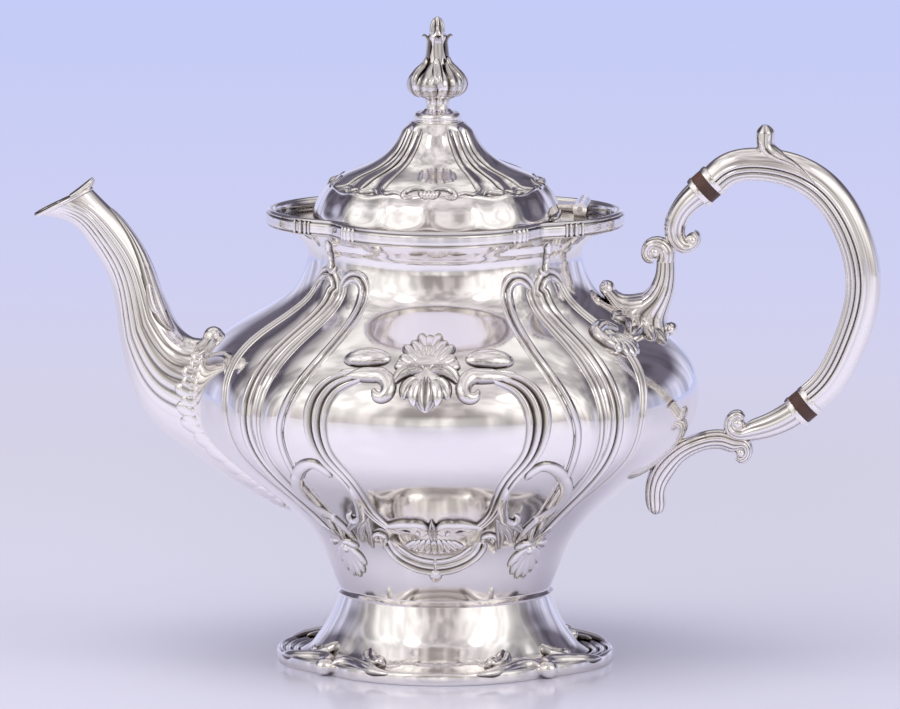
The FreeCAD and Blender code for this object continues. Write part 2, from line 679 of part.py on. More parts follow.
def make_finial():
    """Turned plinth, cast bud with cut petals, and the stud, washer and nut that hold them to the lid."""
    bore = dim("stud_radius") + dim("stud_clearance")
    plinth, rise = dim("finial_plinth_radius"), dim("finial_plinth_height")
    keep("finial_collar", at_lid_axis(turned("finial_collar", [
        (bore, LID_TOP), (plinth, LID_TOP), (plinth, LID_TOP + rise * 0.45, rise * 0.8, -1),
        (plinth * 0.62, LID_TOP + rise * 0.72), (plinth * 0.56, LID_TOP + rise), (bore, LID_TOP + rise)])))

    neck, bulb, stem = dim("finial_neck_radius"), dim("finial_bulb_radius"), dim("finial_stem_radius")
    tuft, tip = dim("finial_tuft_radius"), FINIAL_BASE + dim("finial_height")
    bulb_z = FINIAL_BASE + dim("finial_bulb_rise")
    stem_z, tuft_z = FINIAL_BASE + dim("finial_stem_rise"), FINIAL_BASE + dim("finial_tuft_rise")
    socket_top = FINIAL_BASE + dim("stud_grip")
    bud = turned("finial_bud", [
        (bore, FINIAL_BASE), (neck * 1.4, FINIAL_BASE), (neck, FINIAL_BASE + dim("finial_bulb_rise") * 0.22),
        (bulb * 0.5, bulb_z - dim("finial_bulb_rise") * 0.45, bulb * 0.55, 1),
        (bulb, bulb_z, bulb * 0.65, 1),
        (bulb * 0.62, bulb_z + (dim("finial_stem_rise") - dim("finial_bulb_rise")) * 0.4),
        (stem, stem_z - (dim("finial_stem_rise") - dim("finial_bulb_rise")) * 0.2), (stem, stem_z),
        (tuft, tuft_z), (stem * 0.8, tuft_z + dim("stud_radius")), (stem * 0.7, tip - stem),
        (ZERO, tip), (ZERO, socket_top), (bore, socket_top)])
    doc.recompute()
    grooves = []
    for petal in range(int(value("finial_petals"))):
        turn = 2 * math.pi * petal / value("finial_petals")
        place = Vector(math.cos(turn) * bulb.number, math.sin(turn) * bulb.number, FINIAL_BASE.number)
        grooves.append(cylinder(place, Vector(0, 0, 1), value("petal_groove"), 2 * value("finial_bulb_rise")))
    carved = feature("finial_carved", bud.Shape.cut(grooves))
    keep("finial", at_lid_axis(carved))

    stud = dim("stud_radius")
    washer_top = LID_TOP - dim("lid_wall")
    washer_base = washer_top - dim("washer_thickness")
    nut_base = washer_base - dim("nut_height")
    stud_base = nut_base - stud
    keep("finial_stud", at_lid_axis(turned("finial_stud", [
        (ZERO, stud_base), (stud, stud_base), (stud, socket_top), (ZERO, socket_top)])))
    keep("finial_washer", at_lid_axis(turned("finial_washer", [
        (bore, washer_base), (dim("washer_radius"), washer_base), (dim("washer_radius"), washer_top),
        (bore, washer_top)])))
    nut = doc.addObject("Part::Prism", "nut_blank")
    nut.Polygon = 6
    nut.setExpression("Circumradius", "dims.nut_across / sqrt(3)")
    nut.setExpression("Height", "dims.nut_height")
    nut.Placement.Base = Vector(LID_X.number, 0, nut_base.number)
    nut.setExpression("Placement.Base.x", LID_X.text)
    nut.setExpression("Placement.Base.z", nut_base.text)
    nut_bore = doc.addObject("Part::Cylinder", "nut_bore")
    nut_bore.setExpression("Radius", bore.text)
    nut_bore.setExpression("Height", "dims.nut_height")
    nut_bore.Placement = nut.Placement
    nut_bore.setExpression("Placement.Base.x", LID_X.text)
    nut_bore.setExpression("Placement.Base.z", nut_base.text)
    tapped = doc.addObject("Part::Cut", "finial_nut")
    tapped.Base = nut
    tapped.Tool = nut_bore
    keep("finial_nut", tapped)


def make_hinge(lid_outer):
    """Two knuckles on plates that stand on the flange, one on the lid, and the pin through all three."""
    along = Vector(0, 1, 0)
    axis_x, axis_z = HINGE_X.number, HINGE_Z.number
    radius, half = value("knuckle_radius"), value("knuckle_length") / 2
    side = value("side_knuckle_length")
    bore = cylinder(Vector(axis_x, -4 * half, axis_z), along,
                    value("hinge_pin_radius") + value("hinge_pin_clearance"), 8 * half)
    knuckles = []
    for start in (-half - value("knuckle_gap") - side, half + value("knuckle_gap")):
        barrel = cylinder(Vector(axis_x, start, axis_z), along, radius, side)
        plate_width = value("hinge_plate_width")
        plate = Part.makeBox(plate_width, side, axis_z - FLANGE_TOP.number,
                             Vector(axis_x - plate_width / 2, start, FLANGE_TOP.number))
        knuckles.append(barrel.fuse(plate).cut(bore).removeSplitter())
    keep("hinge_knuckles", feature("hinge_knuckles", Part.makeCompound(knuckles)))

    thick = value("hinge_leaf_thickness")
    barrel = cylinder(Vector(axis_x, -half, axis_z), along, radius, 2 * half)
    reach = axis_x - LID_X.number - value("lid_band_radius") + value("lid_wall")
    leaf = Part.makeBox(reach, 2 * half, thick, Vector(axis_x - reach, -half, axis_z - thick / 2))
    keep("lid_knuckle", feature("lid_knuckle", barrel.fuse(leaf).cut(bore).cut(lid_outer).removeSplitter()))

    pin = doc.addObject("Part::Cylinder", "hinge_pin")
    pin.setExpression("Radius", "dims.hinge_pin_radius")
    length = dim("knuckle_length") + (dim("knuckle_gap") + dim("side_knuckle_length")) * 2
    pin.setExpression("Height", length.text)
    start = Vector(axis_x, -length.number / 2, axis_z)
    pin.Placement = FreeCAD.Placement(start, FreeCAD.Rotation(Vector(1, 0, 0), -90))
    pin.setExpression("Placement.Base.x", HINGE_X.text)
    pin.setExpression("Placement.Base.y", "0 - %s / 2" % length.text)
    pin.setExpression("Placement.Base.z", HINGE_Z.text)
    keep("hinge_pin", pin)


# Pieces carried along a curved line in the middle plane

def closed_curve(points):
    curve = Part.BSplineCurve()
    curve.interpolate(points, PeriodicFlag=True)
    return Part.Wire([curve.toShape()])


def oval(centre, direction, depth, width):
    """Closed oval square to a direction, in four quarters: depth lies in the middle plane, width across it."""
    corners = 12
    outward = Vector(direction.z, 0, -direction.x).normalize()
    points = []
    for step in range(corners):
        turn = 2 * math.pi * step / corners
        side = Vector(0, width / 2 * math.sin(turn), 0)
        points.append(centre + outward * (depth / 2 * math.cos(turn)) + side)
    curve = Part.BSplineCurve()
    curve.interpolate(points, PeriodicFlag=True)
    cuts = [curve.FirstParameter] + [curve.parameter(points[corners * k // 4]) for k in (1, 2, 3)]
    cuts.append(curve.LastParameter)
    return Part.Wire([curve.toShape(first, last) for first, last in zip(cuts, cuts[1:])])


def line_through(points):
    """Smooth line through points."""
    curve = Part.BSplineCurve()
    curve.interpolate(points)
    return curve


def oval_loft(stations, slopes=None):
    """Smooth solid through ovals given as (centre, depth, width), square to their line or to a given slope."""
    centres = [station[0] for station in stations]
    line = line_through(centres)
    wires = []
    for i, (centre, depth, width) in enumerate(stations):
        direction = line.tangent(line.parameter(centre))[0]
        if slopes and i in slopes:
            direction = slopes[i]
        wires.append(oval(centre, direction, depth, width))
    return Part.makeLoft(wires, True, False)


def slope_vector(degrees):
    return Vector(math.cos(math.radians(degrees)), 0, math.sin(math.radians(degrees)))


SPOUT_STATIONS = ["root", "tongue", "heel", "bend", "elbow", "rise", "waist", "throat", "lip", "mouth"]
SPOUT_ROOT_STATIONS = 4


def spout_slope(name):
    return slope_vector(value("spout_%s_lean" % name) + 90)


def spout_loft(extra, overrun=0.0, count=len(SPOUT_STATIONS)):
    """The spout's form, grown or shrunk all round by extra and carried past its mouth by an overrun."""
    stations, slopes = [], {}
    for i, name in enumerate(SPOUT_STATIONS[:count]):
        place = beyond_belly("spout_" + name)
        centre = Vector(-place.x, 0, place.z)
        slopes[i] = spout_slope(name)
        if name == "mouth":
            centre = centre + slopes[i] * overrun
        depth, width = value("spout_%s_depth" % name), value("spout_%s_width" % name)
        stations.append((centre, depth + 2 * extra, width + 2 * extra))
    return oval_loft(stations, slopes)


def make_spout():
    wall = value("spout_wall")
    outer = spout_loft(0.0)
    keep("spout", feature("spout", outer.cut(body_outer).cut(spout_loft(-wall, wall))))

    coat = panel_loft(inset(BODY, -value("mount_thickness")))
    surround = spout_loft(value("mount_border"), 0.0, SPOUT_ROOT_STATIONS)
    plate = coat.cut(body_outer).common(surround).cut(outer)
    plate = max(plate.Solids, key=lambda solid: solid.Volume)
    keep("spout_mount", feature("spout_mount", plate))


def grip_top():
    return value("belly_height") + value("grip_top_up")


def break_point(which, along):
    """A point on an insulator's axis, a distance along from its centre."""
    x = value("belly_radius") + value(which + "_break_out")
    if which == "upper":
        z = grip_top() - value("upper_break_drop")
    else:
        z = value("belly_height") + value("lower_break_up")
    return Vector(x, 0, z) + slope_vector(value(which + "_break_slope")) * along


def break_cylinder(which, radius, start, end):
    direction = slope_vector(value(which + "_break_slope"))
    return cylinder(break_point(which, start), direction, radius, end - start)


def cross_pins(which, radius, length):
    """The two pins that cross an insulator's tenons, halfway along each."""
    reach = value("insulator_length") / 2 + value("tenon_length") / 2
    return [cylinder(break_point(which, along) - Vector(0, length / 2, 0), Vector(0, 1, 0), radius, length)
            for along in (-reach, reach)]


def tenon_cuts(which):
    """What a tube loses to an insulator: the tenon's hole on each side and the pin holes."""
    half = value("insulator_length") / 2
    radius = value("tenon_radius") + value("tenon_clearance")
    deep = half + value("tenon_length") + value("tenon_clearance")
    wide = 2 * value("grip_width")
    pin_holes = cross_pins(which, value("pin_radius") + value("pin_clearance"), wide)
    return [break_cylinder(which, radius, -deep, deep)] + pin_holes


def make_insulators():
    half = value("insulator_length") / 2
    reach = half + value("tenon_length")
    for which in ("upper", "lower"):
        band = break_cylinder(which, value("insulator_radius"), -half, half)
        tenon = break_cylinder(which, value("tenon_radius"), -reach, reach)
        holes = cross_pins(which, value("pin_radius") + value("pin_clearance"), 2 * value("grip_width"))
        keep("insulator_" + which, feature("insulator_" + which, band.fuse(tenon).cut(holes).removeSplitter()))
    length = 0.8 * value("grip_end_depth")
    pins = cross_pins("upper", value("pin_radius"), length) + cross_pins("lower", value("pin_radius"), length)
    keep("insulator_pins", feature("insulator_pins", Part.makeCompound(pins)))


def reeded_oval(centre, direction, depth, width, reeds=5):
    """Grip section: a smooth half-oval outside and a row of small reeds round the inner half."""
    outward = Vector(-direction.z, 0, direction.x).normalize()

    def spot(turn, grow):
        u = (depth / 2 + grow) * math.cos(turn)
        v = (width / 2 + grow) * math.sin(turn)
        return centre + outward * u + Vector(0, v, 0)

    quarter = math.pi / 2
    edges = [Part.Arc(spot(-quarter, 0), spot(0, 0), spot(quarter, 0)).toShape()]
    for reed in range(reeds):
        first = quarter + math.pi * reed / reeds
        last = quarter + math.pi * (reed + 1) / reeds
        middle = spot((first + last) / 2, value("reed_rise"))
        edges.append(Part.Arc(spot(first, 0), middle, spot(last, 0)).toShape())
    return Part.Wire(edges)


def grip_line():
    """The grip's centre line, which leaves each insulator along that insulator's axis."""
    half = value("insulator_length") / 2
    lead = half + value("tenon_length")
    first, last = break_point("upper", lead), break_point("lower", lead)
    reach, top = value("belly_radius") + value("grip_reach_out"), grip_top()
    fall = top - last.z

    def place(name, start):
        x = start + (reach - start) * value("grip_%s_across" % name)
        return Vector(x, 0, top - fall * value("grip_%s_fall" % name))

    highest = Vector(first.x + (reach - first.x) * value("grip_top_across"), 0, top)
    widest = Vector(reach, 0, top - fall * value("grip_reach_fall"))
    points = [break_point("upper", half), first, highest, place("crown", first.x), place("bend", first.x),
              widest, place("return", last.x), last, break_point("lower", half)]
    return line_through(points), highest


def make_grip():
    line, highest = grip_line()
    sections = 17
    length = line.length()
    ends = {0: slope_vector(value("upper_break_slope")),
            sections - 1: slope_vector(value("lower_break_slope")) * -1}
    wires = []
    for step in range(sections):
        share = step / (sections - 1)
        at = line.parameterAtDistance(length * share, line.FirstParameter)
        fullness = math.sin(math.pi * share)
        depth = value("grip_end_depth") + (value("grip_depth") - value("grip_end_depth")) * fullness
        direction = ends.get(step, line.tangent(at)[0])
        wires.append(reeded_oval(line.value(at), direction, depth, value("grip_width")))
    whole = Part.makeLoft(wires, True, False)
    keep("handle_grip", feature("handle_grip", whole.cut(tenon_cuts("upper") + tenon_cuts("lower"))))

    foot = highest + Vector(value("thumb_ahead"), 0, 0)
    lean, depth, width = value("thumb_lean"), value("thumb_depth"), value("thumb_width")
    comma = []
    shape = [(0, 1, 1, 1), (0.45, 0.3, 0.5, 0.9), (0.75, -0.15, 0.32, 0.8), (1, -0.1, 0.26, 0.65)]
    for share, aside, deep, wide in shape:
        centre = foot + Vector(aside * lean, 0, share * value("thumb_rise"))
        comma.append((centre, depth * deep, width * wide))
    keep("thumb_rest", feature("thumb_rest", oval_loft(comma).cut(whole)))


def volute(centre, radius):
    """Rolled end of a scroll: a short roll across the middle plane."""
    width = value("volute_width")
    return cylinder(centre - Vector(0, width / 2, 0), Vector(0, 1, 0), radius, width)


def make_sockets():
    make_upper_bracket()
    make_lower_bracket()


def make_upper_bracket():
    """Arm with a rolled end, the stem that widens to the shoulder, and the leaf spur that turns to the neck."""
    thick = 2 * value("socket_radius")
    roll = value("volute_radius")
    end = break_point("upper", -value("insulator_length") / 2)
    top = beyond_belly("bracket_top")
    drop = top + Vector(roll, 0, roll)
    bend = (end + drop) / 2 + Vector(-roll / 2, 0, roll / 2)
    slope = slope_vector(value("upper_break_slope"))
    arm = oval_loft([(end, thick, thick), (bend, thick, thick * 0.9), (drop, thick * 0.8, thick * 0.85)],
                    {0: slope * -1})
    stem_depth, width = value("bracket_stem_depth"), value("bracket_width")
    foot_depth, foot_width = value("bracket_foot_depth"), value("bracket_foot_width")
    stem = oval_loft([(top, stem_depth * 0.9, width), (beyond_belly("bracket_stem"), stem_depth, width),
                      (beyond_belly("bracket_foot"), foot_depth, foot_width),
                      (beyond_belly("bracket_root"), foot_depth, foot_width)])
    deep = value("spur_depth")
    spur = oval_loft([(beyond_belly("spur_start"), deep, width),
                      (beyond_belly("spur_bend"), deep * 0.85, width * 0.9),
                      (beyond_belly("spur_tip"), deep * 0.5, width * 0.65)])
    whole = arm.fuse([stem, spur, volute(drop + Vector(roll / 2, 0, -roll / 4), roll),
                      volute(beyond_belly("bracket_head"), roll)])
    whole = whole.cut(body_outer).cut(tenon_cuts("upper"))
    keep("handle_socket_upper", feature("handle_socket_upper", whole.removeSplitter()))


def make_lower_bracket():
    """Arm with a rolled end, and the scroll that rests on the belly and hangs down in a tapered tail."""
    thick = 2 * value("socket_radius")
    roll = value("volute_radius")
    end = break_point("lower", -value("insulator_length") / 2)
    slope = slope_vector(value("lower_break_slope"))
    bend, curl = beyond_belly("lower_bend"), beyond_belly("scroll_curl")
    arm = oval_loft([(end, thick, thick), (beyond_belly("lower_arm"), thick * 0.95, thick * 0.9),
                     (bend, thick * 0.9, thick * 0.85)], {0: slope * -1})
    tail = 2 * value("tail_radius")
    fullness = {"curl": 0.9, "crest": 1.0, "back": 1.15, "turn": 1.1, "drop": 0.95, "tip": 0.8, "end": 0.4}
    scroll = oval_loft([(beyond_belly("scroll_" + n), tail * full, tail * min(full, 1.0))
                        for n, full in fullness.items()])
    whole = arm.fuse([scroll, volute(bend, roll), volute(curl, roll * 0.9)])
    whole = whole.cut(body_outer).cut(tenon_cuts("lower"))
    keep("handle_socket_lower", feature("handle_socket_lower", whole.removeSplitter()))


# Relief that follows the pot's surface

def body_coat(rise):
    """The layer that lies on the pot's surface, as thick as the relief stands proud."""
    return panel_loft(inset(BODY, -rise)).cut(body_outer)


def facing_prism(half_outline, degrees):
    """Solid with a symmetrical outline of (half-width, height) points, pushed out through one side."""
    turn = math.radians(degrees)
    out = Vector(math.cos(turn), math.sin(turn), 0)
    side = Vector(-math.sin(turn), math.cos(turn), 0)
    start = out * (value("seam_radius") / 2)
    right = [start + side * w + Vector(0, 0, z) for w, z in half_outline]
    left = [start - side * w + Vector(0, 0, z) for w, z in reversed(half_outline) if w > 0]
    face = Part.Face(closed_curve(right + left))
    return face.extrude(out * (1.5 * value("belly_radius")))


def strap_outlines():
    """Leaf outline of a strap as (share of its half-width, level), the hollow inside it and its middle rib."""
    wide, band = value("strap_half_width"), value("strap_band")
    leaf = [(0, -0.77), (0.23, -0.59), (0.49, -0.385), (0.68, -0.206), (0.73, -0.04), (0.86, 0.15),
            (1, 0.44), (0.9, 0.66), (0.66, 0.86), (0, 1.02)]
    outer = [(share * wide, level(up)) for share, up in leaf]
    low, high = outer[0][1] + 5 * band, outer[-1][1] - 2 * band
    inner = [(0, low)] + [(w - band, z) for w, z in outer[2:-2]] + [(0, high)]
    rib = [(0, low - band), (band, (low + high) / 2), (0, high + band)]
    return outer, inner, rib


def make_straps():
    coat = body_coat(value("strap_rise"))
    outer, inner, rib = strap_outlines()
    corners = {"back_handle": 45, "back_spout": 135, "front_spout": 225, "front_handle": 315}
    for place, degrees in corners.items():
        hollow = facing_prism(inner, degrees).cut(facing_prism(rib, degrees))
        loop = coat.common(facing_prism(outer, degrees)).cut(hollow)
        keep("strap_" + place, feature("strap_" + place, loop))


def shield_outlines():
    """Heart-shaped frame: its outer outline and, a band further in, its inner one."""
    wide, band = value("shield_half_width"), value("shield_band")
    bottom = level(value("shield_bottom_level"))
    tall = level(value("shield_top_level")) - bottom

    def outline(inset_by):
        w, high = wide - inset_by, tall - 2 * inset_by
        low = bottom + inset_by
        heart = [(0, 0), (0.4, 0.12), (0.7, 0.32), (0.94, 0.56), (1, 0.78), (0.76, 0.97), (0.36, 1), (0, 0.93)]
        return [(across * w, low + up * high) for across, up in heart]

    return outline(0), outline(band)


def make_shields():
    """Raised frame and shell crest on the front and back panels."""
    frame_coat, crest_coat = body_coat(value("shield_rise")), body_coat(value("crest_rise"))
    outer, inner = shield_outlines()
    wide, bottom = value("crest_half_width"), level(value("crest_bottom_level"))
    tall = level(value("crest_top_level")) - bottom
    shell = [(0, 0), (0.35, 0.15), (0.8, 0.35), (1, 0.7), (0.5, 0.87), (0, 1)]
    crest = [(across * wide, bottom + up * tall) for across, up in shell]
    for place, degrees in (("front", 270), ("back", 90)):
        crown = crest_coat.common(facing_prism(crest, degrees))
        frame = frame_coat.common(facing_prism(outer, degrees)).cut(facing_prism(inner, degrees)).cut(crown)
        keep(place + "_cartouche", feature(place + "_cartouche", frame))
        keep(place + "_crest", feature(place + "_crest", crown))


make_body_shell()
make_strainer()
make_foot()
make_mouth()
lid_outer = make_lid()
make_finial()
make_hinge(lid_outer)
make_spout()
make_insulators()
make_grip()
make_sockets()
make_straps()
make_shields()
doc.recompute()

faults = [thing.Label for thing in doc.Objects if {"Invalid", "Error"} & set(thing.State)]
for node in nodes:
    if node.Shape.isNull() or not node.Shape.isValid() or not node.Shape.Solids:
        faults.append(node.Label)
if faults:
    raise RuntimeError("failed objects: " + ", ".join(sorted(set(faults))))

os.makedirs("parts", exist_ok=True)
for node in nodes:
    node.Shape.exportStep("parts/%s.step" % node.Label)
    print(node.Label, len(node.Shape.Solids), round(node.Shape.Volume, 1))
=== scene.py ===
import json
import math

import bmesh
import bpy
import mathutils
import numpy as np
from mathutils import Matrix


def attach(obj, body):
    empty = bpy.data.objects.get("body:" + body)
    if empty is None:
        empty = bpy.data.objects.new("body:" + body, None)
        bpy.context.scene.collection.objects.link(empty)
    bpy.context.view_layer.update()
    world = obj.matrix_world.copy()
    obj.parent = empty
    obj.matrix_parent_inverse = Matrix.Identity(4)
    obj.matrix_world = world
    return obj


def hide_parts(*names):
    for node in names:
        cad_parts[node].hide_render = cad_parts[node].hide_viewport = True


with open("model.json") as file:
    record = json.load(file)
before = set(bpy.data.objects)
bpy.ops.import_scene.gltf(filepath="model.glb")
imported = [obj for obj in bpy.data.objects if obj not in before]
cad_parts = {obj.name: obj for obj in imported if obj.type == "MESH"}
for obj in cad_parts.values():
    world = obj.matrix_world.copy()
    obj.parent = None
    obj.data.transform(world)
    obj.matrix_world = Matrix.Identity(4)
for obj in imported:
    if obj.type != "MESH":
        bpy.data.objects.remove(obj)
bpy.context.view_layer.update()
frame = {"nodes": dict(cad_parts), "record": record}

# Lengths are in millimetres up to the point where a mesh is made. The spout points along -X.
MM = 0.001
TURN = 2 * np.pi
QUARTER = np.pi / 2
EIGHTH = np.pi / 4
UP = np.array([0, 0, 1.0])
BOTH = (-1, 1)
SHEET = 1.3
CREASE = math.radians(38)


# Curves

def smooth(low, high, x):
    """Rises from 0 at low to 1 at high as 3t^2 - 2t^3."""
    t = np.clip((x - low) / (high - low), 0, 1)
    return t * t * (3 - 2 * t)


def cubic(knots, values, at):
    """Natural cubic spline through values at knots, read at any array of places."""
    knots, values = np.asarray(knots, float), np.asarray(values, float)
    places = np.clip(np.ravel(at), knots[0], knots[-1])
    table = values.reshape(len(knots), -1)
    step = np.diff(knots)
    system = np.eye(len(knots))
    right = np.zeros_like(table)
    inner = np.arange(1, len(knots) - 1)
    system[inner, inner - 1] = step[:-1]
    system[inner, inner] = 2 * (step[:-1] + step[1:])
    system[inner, inner + 1] = step[1:]
    slope = np.diff(table, axis=0) / step[:, None]
    right[1:-1] = 6 * np.diff(slope, axis=0)
    bend = np.linalg.solve(system, right)
    k = np.clip(np.searchsorted(knots, places) - 1, 0, len(knots) - 2)
    a = ((knots[k + 1] - places) / step[k])[:, None]
    b = 1 - a
    sag = ((a ** 3 - a) * bend[k] + (b ** 3 - b) * bend[k + 1]) * (step[k] ** 2)[:, None] / 6
    found = a * table[k] + b * table[k + 1] + sag
    return found.reshape(np.shape(at) + values.shape[1:])


def distance_along(points):
    """Running distance from a line's first point to each of its points."""
    return np.concatenate([[0], np.cumsum(np.linalg.norm(np.diff(points, axis=0), axis=1))])


def through(points, count):
    """Smooth line through points, at even steps of the distance along them."""
    points = np.asarray(points, float)
    along = distance_along(points)
    return cubic(along, points, np.linspace(0, along[-1], count))


def loop_through(points, count):
    """Smooth closed line through points, made by running three times round them and keeping the middle."""
    points = np.asarray(points, float)
    tripled = np.concatenate([points, points, points, points[:1]])
    along = distance_along(tripled)
    first, last = along[len(points)], along[2 * len(points)]
    return cubic(along, tripled, np.linspace(first, last, count, endpoint=False))


def rolled(points, centre, radius, begin, sweep, tight):
    """A line's points, then a spiral round a centre: over the sweep, in degrees, its radius shrinks evenly to
    tight times itself."""
    t = np.linspace(0, 1, 24)
    turn = np.radians(begin + sweep * t)
    r = radius * (1 - (1 - tight) * t)
    spiral = np.stack([centre[0] + r * np.cos(turn), centre[1] + r * np.sin(turn)], axis=1)
    return np.concatenate([points, spiral])


def mirrored(points, side):
    """Points with their first value turned over where the side is -1."""
    return np.asarray(points, float) * [side, 1]


def spread(values, count):
    """Values at even steps, read at count even steps."""
    return np.interp(np.linspace(0, 1, count), np.linspace(0, 1, np.size(values)), np.ravel(values))


def once_round(count):
    """Angles at even steps once round."""
    return np.linspace(0, TURN, count, endpoint=False)


def unit(v):
    """Vectors of length 1."""
    return v / np.maximum(np.linalg.norm(v, axis=-1, keepdims=True), 1e-12)


# Points about an upright axis at x

def polar(r, phi, z, x=0.0):
    """Points at a radius, an angle and a height."""
    return np.stack(np.broadcast_arrays(x + r * np.cos(phi), r * np.sin(phi), z), axis=-1)


def inset(points, depth, x=0.0):
    """Points moved level towards the axis by a depth."""
    moved = points.copy()
    from_axis = points[..., :2] - [x, 0]
    moved[..., :2] -= from_axis * depth / np.linalg.norm(from_axis, axis=-1, keepdims=True)
    return moved


def drawn_in(row, shares, x=0.0):
    """Copies of one row of points, each drawn in to a share of its distance from the axis."""
    return np.concatenate([(row - [x, 0, 0]) * [share, share, 1] + [x, 0, 0] for share in shares])


# Meshes

def piece(name, grids, body, *stands_for):
    """One polished silver object from grids of points (rows, round, 3) with a recess value each.

    A grid closes round its second direction. An open grid has a point at the middle of each end row, so it
    closes there too; a ring closes on its first row."""
    spots, hollows, faces, start = [], [], [], 0
    for points, recess, ring in grids:
        if not ring:
            ends = [np.repeat(points[k].mean(axis=0)[None, None], points.shape[1], axis=1) for k in (0, -1)]
            points = np.concatenate([ends[0], points, ends[1]])
            recess = np.concatenate([recess[:1], recess, recess[-1:]])
        index = np.arange(points.shape[0] * points.shape[1]).reshape(points.shape[:2]) + start
        after = np.roll(index, -1, axis=0)
        if not ring:
            index, after = index[:-1], after[:-1]
        corners = [index, after, np.roll(after, -1, axis=1), np.roll(index, -1, axis=1)]
        faces.append(np.stack(corners, axis=-1).reshape(-1, 4))
        spots.append(points.reshape(-1, 3))
        hollows.append(recess.reshape(-1))
        start += points.shape[0] * points.shape[1]
    mesh = bpy.data.meshes.new(name)
    mesh.from_pydata(np.concatenate(spots) * MM, [], np.concatenate(faces))
    # the recess value darkens the silver's colour: partly tarnish, partly painted shade
    layer = mesh.attributes.new("recess", "FLOAT", "POINT")
    layer.data.foreach_set("value", np.concatenate(hollows).astype(np.float32))
    work = bmesh.new()
    work.from_mesh(mesh)
    bmesh.ops.remove_doubles(work, verts=work.verts, dist=1e-7)
    bmesh.ops.recalc_face_normals(work, faces=work.faces)
    work.to_mesh(mesh)
    work.free()
    mesh.polygons.foreach_set("use_smooth", np.ones(len(mesh.polygons), bool))
    mesh.set_sharp_from_angle(angle=CREASE)
    made = bpy.data.objects.new(name, mesh)
    bpy.context.scene.collection.objects.link(made)
    mesh.materials.append(silver)
    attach(made, body)
    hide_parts(*stands_for)


def flat(points, ring=False):
    """A grid with no recess."""
    return points, np.zeros(points.shape[:2]), ring


def section_of(across, lift, recess, edge=1.0):
    """A ribbon's section as (across -1 to 1, lift, recess), closed by a flat underside half a lift down."""
    # the underside, where a ribbon sits on its surface, takes the edge's recess value: painted shade
    under = [(1, -0.5, edge), (-1, -0.5, edge)]
    return np.concatenate([np.stack([across, lift, recess], axis=1), under])


def soft_reeds(count):
    """Section of chased reeds: waves that rise from nothing at both edges, each (1 - cos)/2 of its width."""
    across = np.linspace(-1, 1, 9 * count + 1)
    wave = (1 - np.cos(np.pi * count * (across + 1))) / 2
    lift = wave ** 0.7 * (1 - 0.2 * across ** 2)
    # recess darkest in the valleys between reeds: tarnish and painted shade
    return section_of(across, lift, (1 - wave) ** 3 * (np.abs(across) < 0.97), 0.0)


def leaf_section(rib):
    """Section of a leaf: two low pillows, sines of the width, with a sharp bell-shaped rib between them."""
    across = np.linspace(-1, 1, 13)
    pillows = np.abs(np.sin(np.pi * across)) * (1 - 0.5 * np.abs(across))
    lift = 0.25 + 0.75 * pillows + rib * np.exp(-(across / 0.15) ** 2)
    # recess darker where the leaf is low: tarnish and painted shade
    return section_of(across, lift, 1 - np.clip(lift, 0, 1))


def pillow_section():
    """Section of a smooth swelling: a half-oval."""
    across = np.linspace(-1, 1, 13)
    # recess darker towards the pillow's edges, where it meets its surface: painted shade
    return section_of(across, np.sqrt(1 - across ** 2), np.abs(across) ** 6)


TWO_REEDS, THREE_REEDS = soft_reeds(2), soft_reeds(3)
LEAF, BUD = leaf_section(0.35), leaf_section(0.2)
PILLOW = pillow_section()


def taper(count, start, end):
    """1 along the middle, rounding down in a quarter circle to nearly nothing over a share of each end."""
    t = np.linspace(0, 1, count)
    ends = [1 - np.clip(near / share, 0, 1) for near, share in ((t, start), (1 - t, end))]
    return np.maximum(np.prod(np.sqrt(1 - np.square(ends)), axis=0), 0.02)


def ribbon(path, normal, width, height, section, start, end):
    """A section carried along a path on a surface, with rounded ends: across goes square to the path in the
    surface, lift along the surface's normal. Width and height are read evenly along the path."""
    shape = taper(len(path), start, end)
    half = spread(width, len(path)) * shape / 2
    rise = spread(height, len(path)) * shape
    along = unit(np.gradient(path, axis=0))
    side = unit(np.cross(along, normal))
    out = unit(np.cross(side, along))
    points = (path[:, None] + side[:, None] * (section[:, 0] * half[:, None])[..., None]
              + out[:, None] * (section[:, 1] * rise[:, None])[..., None])
    return points, np.repeat(section[None, :, 2], len(path), axis=0), False


def strip(surface, track, width, height, section, start, end):
    """A ribbon whose track is given in the surface's own two parameters, an angle and a distance. The outward
    normal comes from small steps in each."""
    u, v = track.T
    small_turn, small_rise = 0.002, 0.12
    du = surface(u + small_turn, v) - surface(u - small_turn, v)
    dv = surface(u, v + small_rise) - surface(u, v - small_rise)
    return ribbon(surface(u, v), unit(np.cross(du, dv)), width, height, section, start, end)


def ball(centre, radii, rows=14, columns=22):
    """An oval ball with its own three half-axes along X, Y and Z."""
    tilts = np.linspace(0.02, np.pi - 0.02, rows)
    tilt, turn = np.meshgrid(tilts, once_round(columns), indexing="ij")
    return flat(np.asarray(centre) + polar(np.sin(tilt), turn, np.cos(tilt)) * radii)


# Pot wall: tables of height against radius, half a strap's angle in degrees, and a panel's bow

